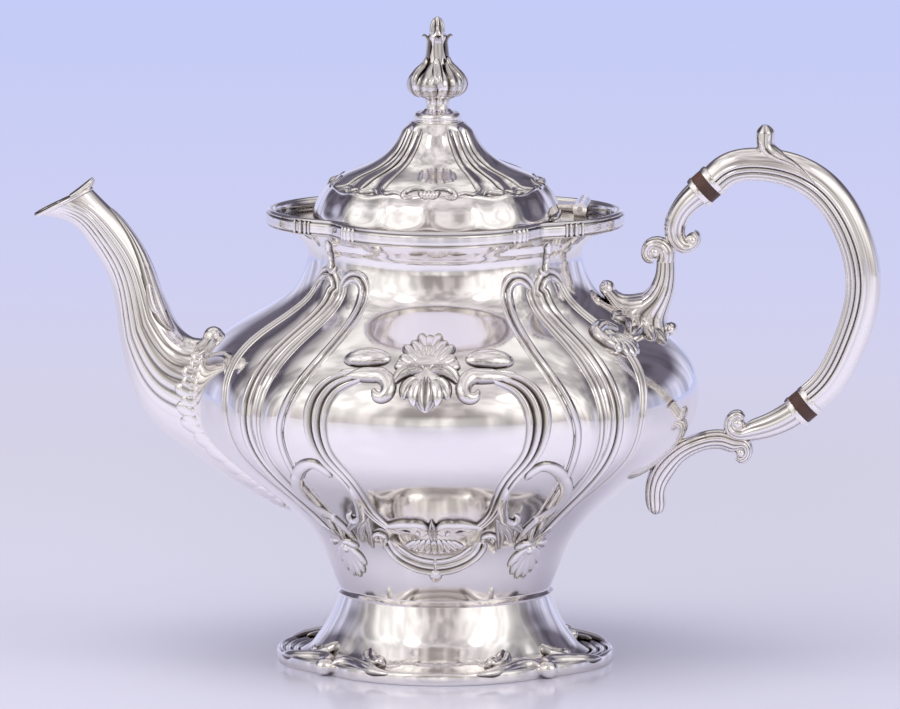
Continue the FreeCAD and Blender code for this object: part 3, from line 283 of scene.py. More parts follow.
FOOT_SEAM, BRIM = 27.3, 162.4
BODY = np.array([(FOOT_SEAM, 39.2), (36, 43), (47, 48.2), (59, 59.5), (71, 74.5), (83, 87.6), (100, 94),
                 (115, 88.6), (126, 75.5), (136, 59), (148, 51.4), (157, 52.8), (BRIM, 60.5)])
STRAP = np.array([(FOOT_SEAM, 6), (42, 4), (57, 5.2), (72, 8), (85, 9.6), (97, 10), (106, 11.5), (116, 14),
                  (126, 16.2), (138, 16), (147, 15), (BRIM, 14)])
BOW = np.array([(FOOT_SEAM, 0.5), (60, 0.8), (148, 0.8), (157, 1.8), (BRIM, 7)])
STRAP_TOP, STRAP_BOTTOM, STRAP_RISE = 149.0, 43.0, 1.9
LOOP_TOP, LOOP_ROUND = 142.0, 6.5


def strap_half(z):
    """Half the angle that a strap takes up at a height."""
    return np.radians(cubic(*STRAP.T, z))


def wall_radius(phi, z):
    """Radius of the pot's face: the profile's reach less the bow of each panel, and on each strap the chord
    between its edges with two soft pillows that fade out at its ends."""
    off = np.mod(phi, QUARTER) - EIGHTH
    half = strap_half(z)
    inside = np.clip((np.abs(off) - half) / (EIGHTH - half), 0, 1)
    base = cubic(*BODY.T, z) - np.interp(z, *BOW.T) * (1 - inside) ** 2
    across = np.clip(off / half, -1, 1)
    chord = np.cos(half) / np.cos(np.clip(off, -half, half))
    fade = smooth(STRAP_BOTTOM, STRAP_BOTTOM + 14, z) * (1 - smooth(STRAP_TOP - 6, STRAP_TOP + 2, z))
    pillow = STRAP_RISE * np.abs(np.sin(np.pi * across)) ** 0.8 * fade
    return np.where(np.abs(off) < half, base * (1 + (chord - 1) * fade) + pillow, base)


def on_wall(phi, z):
    """Points on the pot's face."""
    return polar(wall_radius(phi, z), phi, z)


def on_panel(face, points, count, width, height, section, start, end):
    """A strip on the pot's wall through (distance from a panel's middle, height) points, which are turned to
    angles either side of the angle that the panel faces."""
    line = through(points, count)
    turn = face + np.arcsin(line[:, 0] / cubic(*BODY.T, line[:, 1]))
    return strip(on_wall, np.stack([turn, line[:, 1]], axis=1), width, height, section, start, end)


def panel_rows(face, rows, sides=(1,)):
    """Strips on the pot's wall from rows of points, count, width, height, section, start and end, mirrored
    to each side."""
    return [on_panel(face, mirrored(points, side), *row) for side in sides for points, *row in rows]


def pot_wall():
    """Outer face from the foot seam to the brim, then the inner face back down: one closed skin with a point
    at the middle of the floor, above and below."""
    phi = once_round(400)
    heights = np.concatenate([np.linspace(FOOT_SEAM, 150, 150), np.linspace(150.5, BRIM, 20)])
    outer = on_wall(*np.meshgrid(phi, heights))
    inner = inset(on_wall(*np.meshgrid(phi, np.linspace(BRIM, 29, 40))), SHEET)
    floor, under = drawn_in(inner[-1:], (0.6, 0.2)), drawn_in(outer[:1], (0.2, 0.6))
    piece("pot_wall", [flat(np.concatenate([under, outer, inner, floor]))], "pot", "body_shell", "neck_shell")


def strap_tracks(middle):
    """Two tear-shaped loops side by side: up the strap's edge, over its rounded top and down its middle."""
    rise = np.linspace(STRAP_BOTTOM + 1, LOOP_TOP, 60)
    arc = np.linspace(0, np.pi, 16)[1:-1]
    fall = np.linspace(LOOP_TOP, STRAP_BOTTOM + 3, 60)
    edge = strap_half(rise) * smooth(STRAP_BOTTOM - 6, STRAP_BOTTOM + 22, rise)
    top = edge[-1] * (0.56 + 0.44 * np.cos(arc))
    inner = np.radians(np.interp(fall, [STRAP_BOTTOM, 70, 110, LOOP_TOP], [0.8, 1.7, 2.2, 3.2]))
    turn = np.concatenate([edge, top, inner])
    height = np.concatenate([rise, LOOP_TOP + LOOP_ROUND * np.sin(arc), fall])
    return [np.stack([middle + side * turn, height], axis=1) for side in BOTH]


STRAP_FAN = [([(reach * 0.1, 48), (reach * 0.6, 45.6 - drop * 0.3), (reach, 43.4 - drop)], 20, [3.4, 5, 4],
              1.3, PILLOW, 0.5, 0.45) for reach, drop in ((1.6, 8.6), (4.6, 6.6), (7, 3.2))]
STRAP_HOOK = ([(1.2, 49.5), (4.6, 49.6), (6.8, 47.2)], 24, [3.2, 4.2, 3.6], 1.9, PILLOW, 0.4, 0.4)


def straps():
    """Two reeded loops on each corner, gathered by a ball above a fan of pillows with a hook each side."""
    corners = {"back_handle": 45, "back_spout": 135, "front_spout": 225, "front_handle": 315}
    for place, degrees in corners.items():
        middle = math.radians(degrees)
        grids = [strip(on_wall, track, 5.6, 0.9, TWO_REEDS, 0.1, 0.1) for track in strap_tracks(middle)]
        grids += panel_rows(middle, STRAP_FAN + [STRAP_HOOK], BOTH)
        grids.append(ball(on_wall(middle, 46.5), (1.9, 1.9, 1.9)))
        piece("strap_%s_reeds" % place, grids, "pot", "strap_" + place)


FRAME = [(22.5, 117.5), (30.5, 116), (37, 112), (40.5, 105.3), (40.6, 97), (37.4, 88.7), (31, 81), (26, 72.5),
         (22.2, 64.8), (17.8, 60), (12.2, 56.8), (8, 56)]
FRAME_WIDTH = [5, 8.5, 10.5, 11, 10, 8.5, 7.5, 6.6, 5.5, 4.5, 3.6, 3]
FRAME_LOOP = [(35.5, 79), (37.6, 81.8), (42.3, 84.5), (47.6, 81.5), (49.2, 74.5), (46, 67.6), (39.5, 61.2),
              (33.5, 55.5), (29.5, 50)]
SHIELD_SIDE = [
    (FRAME, 110, FRAME_WIDTH, 1.7, THREE_REEDS, 0.05, 0.08),
    # the frame's upper end rolls inwards, its lower end outwards
    (rolled([(31, 116.8), (24, 118)], (17.2, 113.6), 4.7, 75, 300, 0.3), 70, [6, 7.4, 6.8, 5.8, 4.6], 2.7,
     PILLOW, 0.5, 0.25),
    (rolled([(29, 76), (26.5, 70), (26, 65)], (29.4, 62.4), 3.4, 165, 260, 0.35), 50, [3.6, 5, 4.4, 3], 1.9,
     PILLOW, 0.2, 0.3),
    # facing volutes over the lunette
    (rolled([(18.5, 58.4), (13.5, 59.4), (9, 60.2)], (5.4, 57.2), 3.4, 60, 250, 0.2), 56,
     [5.2, 5.6, 5.2, 4.6], 2.4, PILLOW, 0.4, 0.3),
    # domed cap between the frame and the crest, and the ledge under it
    ([(31.4, 122.2), (26, 123), (20, 123.4), (13.4, 123.2)], 44, 9.4, 3.2, PILLOW, 0.5, 0.5),
    ([(32.6, 118.6), (24, 119), (12.6, 118.8)], 40, 2.4, 1.6, PILLOW, 0.3, 0.3),
    # loop beside the frame
    (FRAME_LOOP, 70, [3.8, 5.4, 5.4, 4.6, 3.2], 1.5, PILLOW, 0.1, 0.15),
    # leaves that fill the corner under the frame
    ([(23.6, 61.5), (27, 56), (27.5, 50)], 26, [2.4, 4.4, 2.4], 1.4, LEAF, 0.4, 0.5),
    ([(23.6, 61.5), (24.5, 54), (23, 47.6)], 26, [2.4, 4.4, 2.4], 1.4, LEAF, 0.4, 0.5),
    ([(23.6, 61.5), (30, 58), (33, 53.5)], 26, [2.4, 4.4, 2.4], 1.4, LEAF, 0.4, 0.5),
    # lunette: a reeded bow, the roll at its end and a thin bow inside it
    ([(17.8, 52.5), (16.7, 48.6), (11.5, 43.6), (5, 41), (0, 40.3)], 40, [5.4, 5.2], 1.2,
     TWO_REEDS, 0.2, 0.01),
    (rolled([(17.6, 51), (18.2, 53.4)], (20.4, 53.2), 2.2, 170, -270, 0.4), 28, 2.6, 1.6, PILLOW, 0.2, 0.3),
    ([(13.6, 50), (9.5, 46.4), (4.5, 44.4), (0, 43.8)], 26, 2, 0.8, PILLOW, 0.2, 0.01),
]
# leaf that joins the volutes, flutes that fill the lunette below them, and the drop under it
SHIELD_MIDDLE = [
    ([(0, 62), (0, 57.5), (0, 52.5)], 24, [2.4, 4, 3], 2.9, LEAF, 0.45, 0.45),
    *[([(lean * 1.7, 53.4 - 0.05 * lean ** 2), (lean * 2.3, 50.4), (lean * 2.7, 46.6 + 0.18 * lean ** 2)], 18,
       [2.2, 2.9, 2.6], 1, PILLOW, 0.4, 0.4) for lean in range(-4, 5)],
    ([(0, 40.6), (0, 38), (0, 35.4)], 14, [4.6, 5, 3.6], 1.1, PILLOW, 0.3, 0.5),
]


def cartouche(name, face, node):
    """Two reeded C-scrolls with curled ends, side loops, domed caps above and a lunette below."""
    grids = panel_rows(face, SHIELD_SIDE, BOTH) + panel_rows(face, SHIELD_MIDDLE)
    piece(name, grids, "pot", node)


# swelling that carries the crest's whole cluster
CREST_BASE = [
    ([(-11.5, 122.2), (0, 123.4), (11.5, 122.2)], 50, 9, 1.5, PILLOW, 0.5, 0.5),
    ([(0, 122), (0, 114), (0, 106)], 50, [10.5, 13, 8], 1.4, PILLOW, 0.4, 0.5),
]
CREST_LEAVES = [
    ([(0.6, 119.8), (5, 120.4), (9.4, 118.6), (12, 115.2)], 40, [5, 6, 5.4, 3.6], 2.8, LEAF, 0.25, 0.4),
    ([(2.6, 117.6), (6.4, 115), (8.4, 110.4)], 30, [4.6, 5.8, 4], 2.3, LEAF, 0.35, 0.45),
    ([(1.6, 117), (4.2, 113.2), (4, 108.2)], 26, [4.2, 5.4, 4], 2.8, PILLOW, 0.4, 0.45),
]
CREST_BUD = ([(0, 118.4), (0, 112.5), (0, 106.2)], 24, [5.4, 7, 5.4], 3.5, BUD, 0.4, 0.45)


def crest(name, face, node):
    """Low ragged shell over spreading leaves, with a cluster of three buds hanging between them."""
    hub = np.array([0, 119.0])
    rays = []
    for lean in range(-5, 6):
        angle = math.radians(lean * 15.5)
        way = np.array([12.4 * math.sin(angle), 12.6 * math.cos(angle)]) * (1.0 if lean % 2 else 0.93)
        ray = [hub + way * 0.3, hub + way * 0.7, hub + way]
        rays.append((ray, 22, [3.4, 4.6, 4.6], 1.9, PILLOW, 0.5, 0.3))
    grids = panel_rows(face, CREST_BASE + rays) + panel_rows(face, CREST_LEAVES, BOTH)
    piece(name, grids + panel_rows(face, [CREST_BUD]), "pot", node)


# Lobed borders and foot

RIM_BASE, RIM_REACH, RIM_LOBE = 163.9, 66.4, 40.0
FOOT_REACH, FOOT_LOBE, FOOT_SHEET = 62.5, 47.0, 1.4
NOTCH_SOFTNESS = 0.045


def lobed(phi, reach, lobe):
    """Distance from the axis to a four-lobed outline: each lobe an arc, the notches softened."""
    off = np.abs(np.mod(phi + EIGHTH, QUARTER) - EIGHTH)
    soft = EIGHTH - np.sqrt((EIGHTH - off) ** 2 + NOTCH_SOFTNESS ** 2) + 0.002
    centre = reach - lobe
    return centre * np.cos(soft) + np.sqrt(lobe ** 2 - (centre * np.sin(soft)) ** 2)


def lobed_ring(reach, lobe, profile, count, base=0.0):
    """A closed profile of (outward, height, recess) points carried round a lobed outline."""
    section = loop_through(profile, count)
    phi = once_round(480)[:, None]
    points = polar(lobed(phi, reach, lobe) + section[:, 0], phi, np.maximum(base + section[:, 1], 0))
    return points, np.repeat(np.clip(section[None, :, 2], 0, 1), len(phi), axis=0), True


# third value: recess, dark in the grooves and under the moulding, as tarnish and painted shade
RIM_PROFILE = [(-4.2, 0, 0.6), (-4.2, 2.4, 0.2), (-3.7, 3.9, 0), (-2.6, 4.5, 0), (-1.4, 4.4, 0),
               (-0.6, 3.9, 0.1), (-0.7, 3.3, 0.9), (-0.1, 2.9, 0.1), (0, 2, 0), (0, 0.6, 0), (-0.2, -0.3, 0),
               (-0.7, -0.7, 0.7), (-0.5, -1.2, 0.1), (-1.2, -1.6, 0.1), (-2.4, -1.6, 0.6), (-3.4, -1.2, 0.6)]
RIM_HOOK = (rolled([(6.4, 160.6), (6.9, 156), (6.6, 151.4)], (4.6, 150.4), 1.9, 20, -250, 0.5), 44,
            [4.6, 3.4, 3, 2.2], 1.4, PILLOW, 0.15, 0.3)


def rim():
    """Plain upright face with a rounded top, a cluster of flutes either side of each notch, and under it a
    small scroll at each side panel's edge."""
    grids = [lobed_ring(RIM_REACH, RIM_LOBE, RIM_PROFILE, 44, RIM_BASE)]
    rise = RIM_BASE + np.linspace(-1.2, 3.9, 16)
    for quarter in range(4):
        notch = quarter * QUARTER + EIGHTH
        for side in BOTH:
            for step, width in ((9.5, 1.5), (11.2, 2.4), (13.4, 2.8), (15.8, 1.8)):
                phi = np.full(16, notch + side * math.radians(step))
                path = polar(lobed(phi, RIM_REACH, RIM_LOBE) - 0.3, phi, rise)
                grids.append(ribbon(path, polar(1, phi, 0), width, 0.8, PILLOW, 0.35, 0.35))
        grids += panel_rows(notch, [RIM_HOOK], [1 if quarter % 2 else -1])
    piece("rim_moulding", grids, "pot", "rim_border")


FLARE = np.array([(3.6, 53.5), (5, 51), (8, 48), (12, 45), (17, 42.2), (21, 40.4), (25.3, 38.9)])
# third value: recess, dark in the grooves and at the border's edges, as tarnish and painted shade
FOOT_PROFILE = [(-15, 0.3, 0.5), (-15, 3.2, 0.8), (-11, 3, 0.3), (-8.6, 3, 0.6), (-8.2, 3.5, 0.1),
                (-7.4, 3.9, 0), (-6.4, 3.7, 0.1), (-5.9, 3.1, 1), (-5.3, 3.7, 0.1), (-4.4, 4.2, 0),
                (-3.4, 4, 0.1), (-2.9, 3.4, 1), (-2.3, 4.1, 0.1), (-1.3, 4.7, 0), (-0.3, 4.2, 0), (0, 3, 0),
                (0, 1, 0), (-0.3, 0.15, 0), (-1.2, 0, 0.3), (-7, 0, 0.5)]
# scrolls either side of a notch: (radius, degrees from the notch) points, lift, width, height and section
FOOT_SCROLLS = [
    ([(57.5, 2), (53, 4.5), (52.6, 9), (56.2, 17), (59.8, 24), (61.2, 31)], [3.6, 4.4, 4.4, 4.2, 3.8],
     [5.4, 5.6, 4.8, 3], [3.2, 2.9, 2, 0.8], PILLOW),
    ([(54, 7.5), (51.6, 12), (53.4, 18), (57, 24)], [4.4, 4.8, 4.4], [2, 3.2, 1.8], 1.3, PILLOW),
    ([(43.8, 10), (45.5, 12), (48.5, 15), (50.5, 20), (50.6, 24)], [8.6, 7.2, 5.8, 5.2, 5],
     [4.6, 6.4, 5, 3], 2.6, LEAF),
    ([(46.4, 16), (48, 19.5), (50.4, 21), (50.8, 18)], [6.6, 5.8, 5.4, 5.4], [3.4, 4.4, 3.2], 2.5, PILLOW),
]


def foot():
    """Flared skirt that swells from a circle at the collar to the lobes at its base, and a border of three
    stepped reeds with scrolls and a knob in each notch."""
    heights = np.linspace(FLARE[0, 0], FLARE[-1, 0], 40)
    turn, z = np.meshgrid(once_round(400), heights)
    share = 0.9 * smooth(22, 4, z) ** 1.3
    lobes = lobed(turn, FOOT_REACH, FOOT_LOBE) / FOOT_REACH
    outer = polar(cubic(*FLARE.T, z) * (1 - share + share * lobes), turn, z)
    skirt = np.concatenate([outer, inset(outer[::-1], FOOT_SHEET)])
    piece("foot_flare", [flat(skirt, True)], "pot", "foot_skirt")

    grids = [lobed_ring(FOOT_REACH, FOOT_LOBE, FOOT_PROFILE, 64)]
    for quarter in range(4):
        notch = quarter * QUARTER + EIGHTH
        for side in BOTH:
            for points, lift, *row in FOOT_SCROLLS:
                line = through(points, 44)
                turn = notch + side * np.radians(line[:, 1])
                path = polar(line[:, 0], turn, spread(lift, 44))
                grids.append(ribbon(path, unit(UP + 0.6 * polar(1, turn, 0)), *row, 0.2, 0.3))
        grids.append(ball(polar(58.6, notch, 3.3), (3.7, 3.7, 3.25)))
    piece("foot_moulding", grids, "pot", "foot_border")


# Lid and finial

LID_X = -2.8
LID = np.array([(46, 164.2), (46.2, 166), (45.2, 169.5), (43.4, 173.5), (40.6, 177.2), (37.4, 179.8),
                (33.6, 182), (28.6, 184), (23.6, 186.2), (19.4, 189.2), (16, 193.4), (13.6, 197.6),
                (11.6, 200.4)])
LID_AT = distance_along(LID)
LID_END = LID_AT[-1]
LID_STEP, LID_STEP_DEPTH = 16.0, 0.9
LID_BOW, LID_FLUTE, LID_PLEAT = 0.8, 1.3, 0.4


def lid_strap(s):
    """Half the angle of a strap on the lid."""
    return np.radians(np.interp(s, [0, LID_STEP, 30, 42, LID_END], [16, 16, 15, 17, 22]))


def on_lid(phi, s):
    """Lid's face at a distance s up its profile: a softly pleated drum, then above a scalloped step bowed
    panels between straps with two hollow flutes each."""
    line = cubic(LID_AT, LID, s)
    off = np.mod(phi, QUARTER) - EIGHTH
    half = lid_strap(s)
    across = np.clip(off / half, -1, 1)
    scallop = LID_STEP + 0.9 * np.cos(phi * 4) + 0.5 * np.cos(phi * 16)
    above = smooth(scallop - 0.8, scallop + 0.6, s)
    fade = above * (1 - smooth(LID_END - 4, LID_END, s))
    inside = np.clip((np.abs(off) - half) / (EIGHTH - half), 0, 1)
    bow = LID_BOW * np.sin(QUARTER * inside) ** 0.8
    flute = LID_FLUTE * np.abs(np.sin(np.pi * across)) ** 1.3
    pleat = LID_PLEAT * np.cos(phi * 16) * (1 - above) * smooth(1, 6, s)
    edge = LID_STEP_DEPTH * (np.exp(-((s - scallop) / 1.1) ** 2) - above)
    return polar(line[..., 0] + fade * (bow - flute) + pleat + edge - 0.2, phi, line[..., 1], LID_X)


def on_lid_panel(middle, points, count, width, height, start, end):
    """A pillow on the lid through (distance from a panel's middle, distance up the profile) points."""
    line = through(points, count)
    turn = middle + line[:, 0] / np.interp(line[:, 1], LID_AT, LID[:, 0])
    return strip(on_lid, np.stack([turn, line[:, 1]], axis=1), width, height, PILLOW, start, end)


SHELL_ROLL = [(1.5, 19.1), (5, 19.9), (8.5, 18.1), (9.5, 16.1), (7.6, 15.1), (5.8, 15.9)]
SHELL_TENDRIL = [(9.6, 15.9), (12.5, 17.1), (16.5, 16.5), (19.5, 18.1), (20, 20.5)]
STRAP_FOOT = [(0, 16.9), (3.5, 15.5), (7, 16.7), (10, 15.9)]


def lid():
    """Outer face, then the inner face inside it, closed over the middle; low ribs along each strap's edges
    and middle, a wavy foot to each strap and a small shell with tendrils at each panel's foot."""
    phi = once_round(400)
    outer = on_lid(*np.meshgrid(phi, np.linspace(0, LID_END, 150)))
    inner = inset(outer[::-5], SHEET, LID_X)
    inner[..., 2] = np.maximum(inner[..., 2] - 1, LID[0, 1])
    crown, roof = drawn_in(outer[-1:], (0.2, 0.6), LID_X), drawn_in(inner[:1], (0.6, 0.2), LID_X)
    piece("lid_skin", [flat(np.concatenate([crown, outer[::-1], inner[::-1], roof]))], "lid", "lid_dome")

    grids = []
    s = np.linspace(LID_STEP + 1, LID_END - 2, 60)
    for quarter in range(4):
        panel = quarter * QUARTER
        strap = panel + EIGHTH
        for side, top_width in ((-1, 2.2), (1, 2.2), (0, 2)):
            track = np.stack([strap + side * lid_strap(s), s], axis=1)
            grids.append(strip(on_lid, track, [3.4, top_width], 0.4, PILLOW, 0.12, 0.12))
        # the shells by the hinge and by the spout are lower
        rise = 1.0 if quarter % 2 else 0.5
        for side in BOTH:
            grids += [
                on_lid_panel(panel, mirrored(SHELL_ROLL, side), 40, [1.8, 2.6, 2], rise, 0.3, 0.3),
                on_lid_panel(panel, mirrored(SHELL_TENDRIL, side), 36, [1.8, 2.4, 1.8], 0.8 * rise, 0.3, 0.4),
                on_lid_panel(strap, mirrored(STRAP_FOOT, side), 30, [1.6, 2.2, 1.6], 1, 0.2, 0.3)]
        for lean in range(-2, 3):
            ray = [(lean * 0.5, 14.5), (lean * 1.2, 16.5), (lean * 2, 18.7 - 0.3 * abs(lean))]
            grids.append(on_lid_panel(panel, ray, 14, 2.2, 1.2 * rise, 0.5, 0.4))
    piece("lid_relief", grids, "lid", "lid_straps")


def turned_about(profile, columns=64, rows=90, petals=0, depth=0.0, span=(0, 1)):
    """Profile of (radius, height) turned about the lid's axis, its radius waved into petals over a span of
    heights."""
    line = through(profile, rows)
    phi = once_round(columns)
    mask = smooth(span[0], span[0] + 2, line[:, 1:]) * (1 - smooth(span[1] - 3, span[1], line[:, 1:]))
    petal = np.abs(np.cos(petals * phi / 2))
    r = np.maximum(line[:, :1], 0.01) * (1 + depth * mask * (petal - 0.6))
    # recess between the petals: tarnish and painted shade
    return polar(r, phi, line[:, 1:], LID_X), (1 - petal) ** 2 * mask, False


FINIAL_PLINTH = [(10.4, 200.2), (9.6, 201), (8.6, 201.3), (8.8, 202.2), (8.6, 203.6), (8.2, 204.1),
                 (6.2, 204.4), (5.4, 205), (4.6, 205.8)]
FINIAL_CORE = [(4.6, 205.8), (4.3, 207.2), (4.5, 209), (6.8, 210.2), (9.6, 212.4), (10.4, 215), (9.2, 217.8),
               (6.4, 220.2), (4.2, 222.6), (3.2, 226), (2.9, 230.4), (3.5, 232.4), (2.6, 234.2), (2.2, 236.6),
               (1.2, 238.8), (0.3, 240)]
# rings of leaves from the bud up: number, first angle, (radius, height) points, width, height, twist
FINIAL_LEAVES = [
    (6, 0.2, [(5.6, 210), (9.4, 212.2), (10.4, 215), (9.2, 217.8), (6.6, 220.6), (4.6, 223.6)], 6.4,
     1.2, 0.25),
    (6, 0.7, [(9.6, 213.4), (10, 216.4), (7.6, 219.8), (5, 222.6), (4.6, 225)], 4, 1.4, -0.2),
    (4, 0.15, [(4.6, 221.8), (3.6, 225), (3.1, 229), (3.5, 231.8), (5.2, 233), (5.6, 232.4)], 3.4, 1.1, 0),
    (4, 0.9, [(2.4, 231), (2.6, 234), (2.3, 236.8), (1.3, 239.2)], 2.4, 0.8, 0),
]


def finial():
    """Turned plinth, then a bud of overlapping leaves round a turned core, with a tuft at the tip."""
    piece("finial_plinth", [turned_about(FINIAL_PLINTH)], "lid", "finial_collar")
    grids = [turned_about(FINIAL_CORE, 96, 110, 10, 0.13, (207, 224))]
    for count, first, points, width, height, twist in FINIAL_LEAVES:
        line = through(points, 26)
        slope = unit(np.gradient(line, axis=0))
        for k in range(count):
            turn = k * TURN / count + first + twist * np.linspace(0, 1, 26)
            path = polar(line[:, 0], turn, line[:, 1], LID_X)
            normal = slope[:, 1:] * polar(1, turn, 0) - slope[:, :1] * UP
            grids.append(ribbon(path, normal, width, height, LEAF, 0.4, 0.45))
    piece("finial_leaves", grids, "lid", "finial")


# Spout and handle, carried along lines in the middle plane

# centre x and z, depth, width, and the lean of each section's line from its under side to its upper side
SPOUT = np.array([(-67, 88, 70, 30, 106), (-84, 93.4, 53, 29.5, 97), (-92, 97.2, 43.5, 28, 88),
                  (-102.8, 104.7, 35.6, 25, 70.4), (-110, 118.4, 27.5, 21, 52.8),
                  (-113.2, 130.2, 20.7, 17, 36), (-117.3, 144.9, 16.8, 14, 29.3),
                  (-126.2, 159, 15.5, 12.5, 30), (-133.2, 166, 15.6, 12, 28.5),
                  (-142.3, 169.8, 23.7, 11.6, 26)])
SPOUT_AT = distance_along(SPOUT[:, :2])
SPOUT_END = SPOUT_AT[-1]
SPOUT_REEDS, SPOUT_REED_RISE = 6, 0.4
BORDER_STEP, BORDER_REACH, BEAD = 3.7, (4.6, 6.6, 5.2, 7.4), 1.7


def reed_wave(theta, t):
    """Height of the reeds from 0 to 1, and how far they are into their field, which runs down each flank
    between an upper and a lower angle."""
    bend = np.degrees(np.abs(np.mod(theta + np.pi, TURN) - np.pi))
    stations = [0, 30, 62, SPOUT_END]
    upper, lower = np.interp(t, stations, [24, 28, 58, 60]), np.interp(t, stations, [112, 118, 146, 136])
    place = (bend - upper) / (lower - upper)
    inside = smooth(0, 0.06, place) * (1 - smooth(0.94, 1, place))
    inside = inside * smooth(4, 20, t) * (1 - smooth(SPOUT_END - 12, SPOUT_END - 1, t))
    return np.abs(np.sin(np.pi * SPOUT_REEDS * place)), inside


def spout_oval(theta, t, grow=0.0):
    """Spout's plain oval, 0 degrees on its upper side, with its half depth and half width grown alike."""
    line = cubic(SPOUT_AT, SPOUT, t)
    lean = np.radians(line[..., 4])
    u = (line[..., 2] / 2 + grow) * np.cos(theta)
    v = (line[..., 3] / 2 + grow) * np.sin(theta)
    return np.stack([line[..., 0] + np.cos(lean) * u, v, line[..., 1] + np.sin(lean) * u], axis=-1)


def spout_emerges(theta):
    """Distance along the spout at which its face comes out of the pot's wall, one per angle."""
    t = np.linspace(0, SPOUT_END / 2, 400)
    x, y, z = np.moveaxis(spout_oval(*np.meshgrid(theta, t, indexing="ij")), -1, 0)
    return t[np.argmax(np.hypot(x, y) > wall_radius(np.arctan2(y, x), z), axis=1)]


def on_flank(side, points, count, width, height, section, start=0.3, end=0.5):
    """A strip on one flank of the spout through (degrees from its upper side, distance along it) points."""
    track = through(points, count) * [math.radians(side), 1]
    return strip(spout_oval, track, width, height, section, start, end)


SHOULDER_LEAF = [(14, 116), (22, 114.6), (29, 115.6), (36, 117.2), (43, 115.8), (46.6, 111.8)]
MOUTH_LEAF = ([(-139.4, 172.4), (-135.4, 175.4), (-131.6, 178.4), (-130.9, 178.5)],
              [(-137.6, 169.8), (-133.2, 172.8), (-130.2, 176.3), (-130.3, 177.8)], [5, 6.5, 5, 2], 30)


def spout():
    """Oval tube with parallel reeds on its flanks and a smooth back, open at both ends, with its inner face;
    then a leafy border, with a leaf tip and a bead at even steps along the seam."""
    turn, along = np.meshgrid(once_round(320), np.linspace(0, SPOUT_END, 150))
    wave, inside = reed_wave(turn, along)
    outer = spout_oval(turn, along, SPOUT_REED_RISE * (wave ** 0.6 - 0.7) * inside)
    inner = spout_oval(turn, along, -SHEET)[::-1]
    # recess darkens the reed valleys (tarnish and painted shade) and the whole inner face by 0.4 (painted
    # shade)
    hollow = np.concatenate([(1 - wave) ** 3 * inside, np.full(turn.shape, 0.4)])
    piece("spout_tube", [(np.concatenate([outer, inner]), hollow, True)], "pot", "spout")

    grids = []
    bend = np.linspace(6, 150, 300)
    leaves_wall = spout_emerges(np.radians(bend))
    seam = distance_along(spout_oval(np.radians(bend), leaves_wall))
    marks = np.arange(1.5, seam[-1], BORDER_STEP)
    around, root = np.interp(marks, seam, bend), np.interp(marks, seam, leaves_wall)
    high, mid_high = np.interp([20, 34], bend, leaves_wall)
    for side in BOTH:
        # ragged border of leaf tips and beads where the spout leaves the wall
        for k, (here, first) in enumerate(zip(around, root)):
            reach = BORDER_REACH[k % 4]
            tip = [(here, first - 2), (here + 1, first + reach * 0.5), (here + 3, first + reach)]
            grids.append(on_flank(side, tip, 18, [5.2, 6.4, 5], 1.7, PILLOW, 0.3, 0.4))
            bead = spout_oval(math.radians(here + 4.4) * side, first + 0.6)
            grids.append(ball(bead, (BEAD, BEAD, BEAD), 10, 14))
        # rolled leaves on the upper flank, and a tongue that climbs from them
        rolled_leaf = [(14, high + 1), (28, high + 5), (44, mid_high + 10)]
        tongue = [(30, 46), (42, 56), (44, 70), (34, 90), (16, 106)]
        comma = [(44, 60), (56, 66), (52, 73), (42, 71)]
        lip = [(math.degrees(0.02), SPOUT_END - 0.8), (180 - math.degrees(0.02), SPOUT_END - 0.8)]
        grids += [on_flank(side, rolled_leaf, 30, [6, 8.5, 4.5], 2.8, LEAF),
                  on_flank(side, tongue, 60, [3, 6, 5, 3, 2], 0.9, LEAF),
                  on_flank(side, comma, 34, [2.4, 3, 2.2], 1.1, PILLOW, 0.3, 0.4),
                  on_flank(side, lip, 60, 1.7, 0.8, PILLOW, 0.02, 0.02),
                  # leaf turned back over the shoulder
                  on_panel(np.pi, mirrored(SHOULDER_LEAF, side), 50, [4.4, 5.6, 5.4, 5, 4.6, 3], 2.2, LEAF,
                           0.3, 0.4)]
    # rolled knob in the middle of the shoulder
    grids.append(ball((-86, 0, 119.4), (4.2, 5, 4.1)))
    # small leaf that carries on the line of the mouth
    grids.append(between(*MOUTH_LEAF))
    piece("spout_leafage", grids, "pot", "spout_mount")


def sloped(degrees):
    """Direction in the middle plane at a slope."""
    return np.array([math.cos(math.radians(degrees)), math.sin(math.radians(degrees))])


UPPER_BREAK, UPPER_SLOPE = np.array([96.7, 177.8]), sloped(42)
LOWER_BREAK, LOWER_SLOPE = np.array([132.8, 96.3]), sloped(40.6)
HALF_BREAK, STRAIGHT_END = 2.8, 8.8
GRIP = [UPPER_BREAK + UPPER_SLOPE * HALF_BREAK, UPPER_BREAK + UPPER_SLOPE * STRAIGHT_END, (116.8, 186.4),
        (137.6, 179.6), (150.6, 162.2), (155.1, 141.5), (149.4, 118.7),
        LOWER_BREAK + LOWER_SLOPE * STRAIGHT_END, LOWER_BREAK + LOWER_SLOPE * HALF_BREAK]
FERRULE_AT = np.array([2.1, 2.3, 3, 4.2, 4.6])
FERRULE_ACROSS = [11.6, 12.7, 12.9, 12.5, 11]


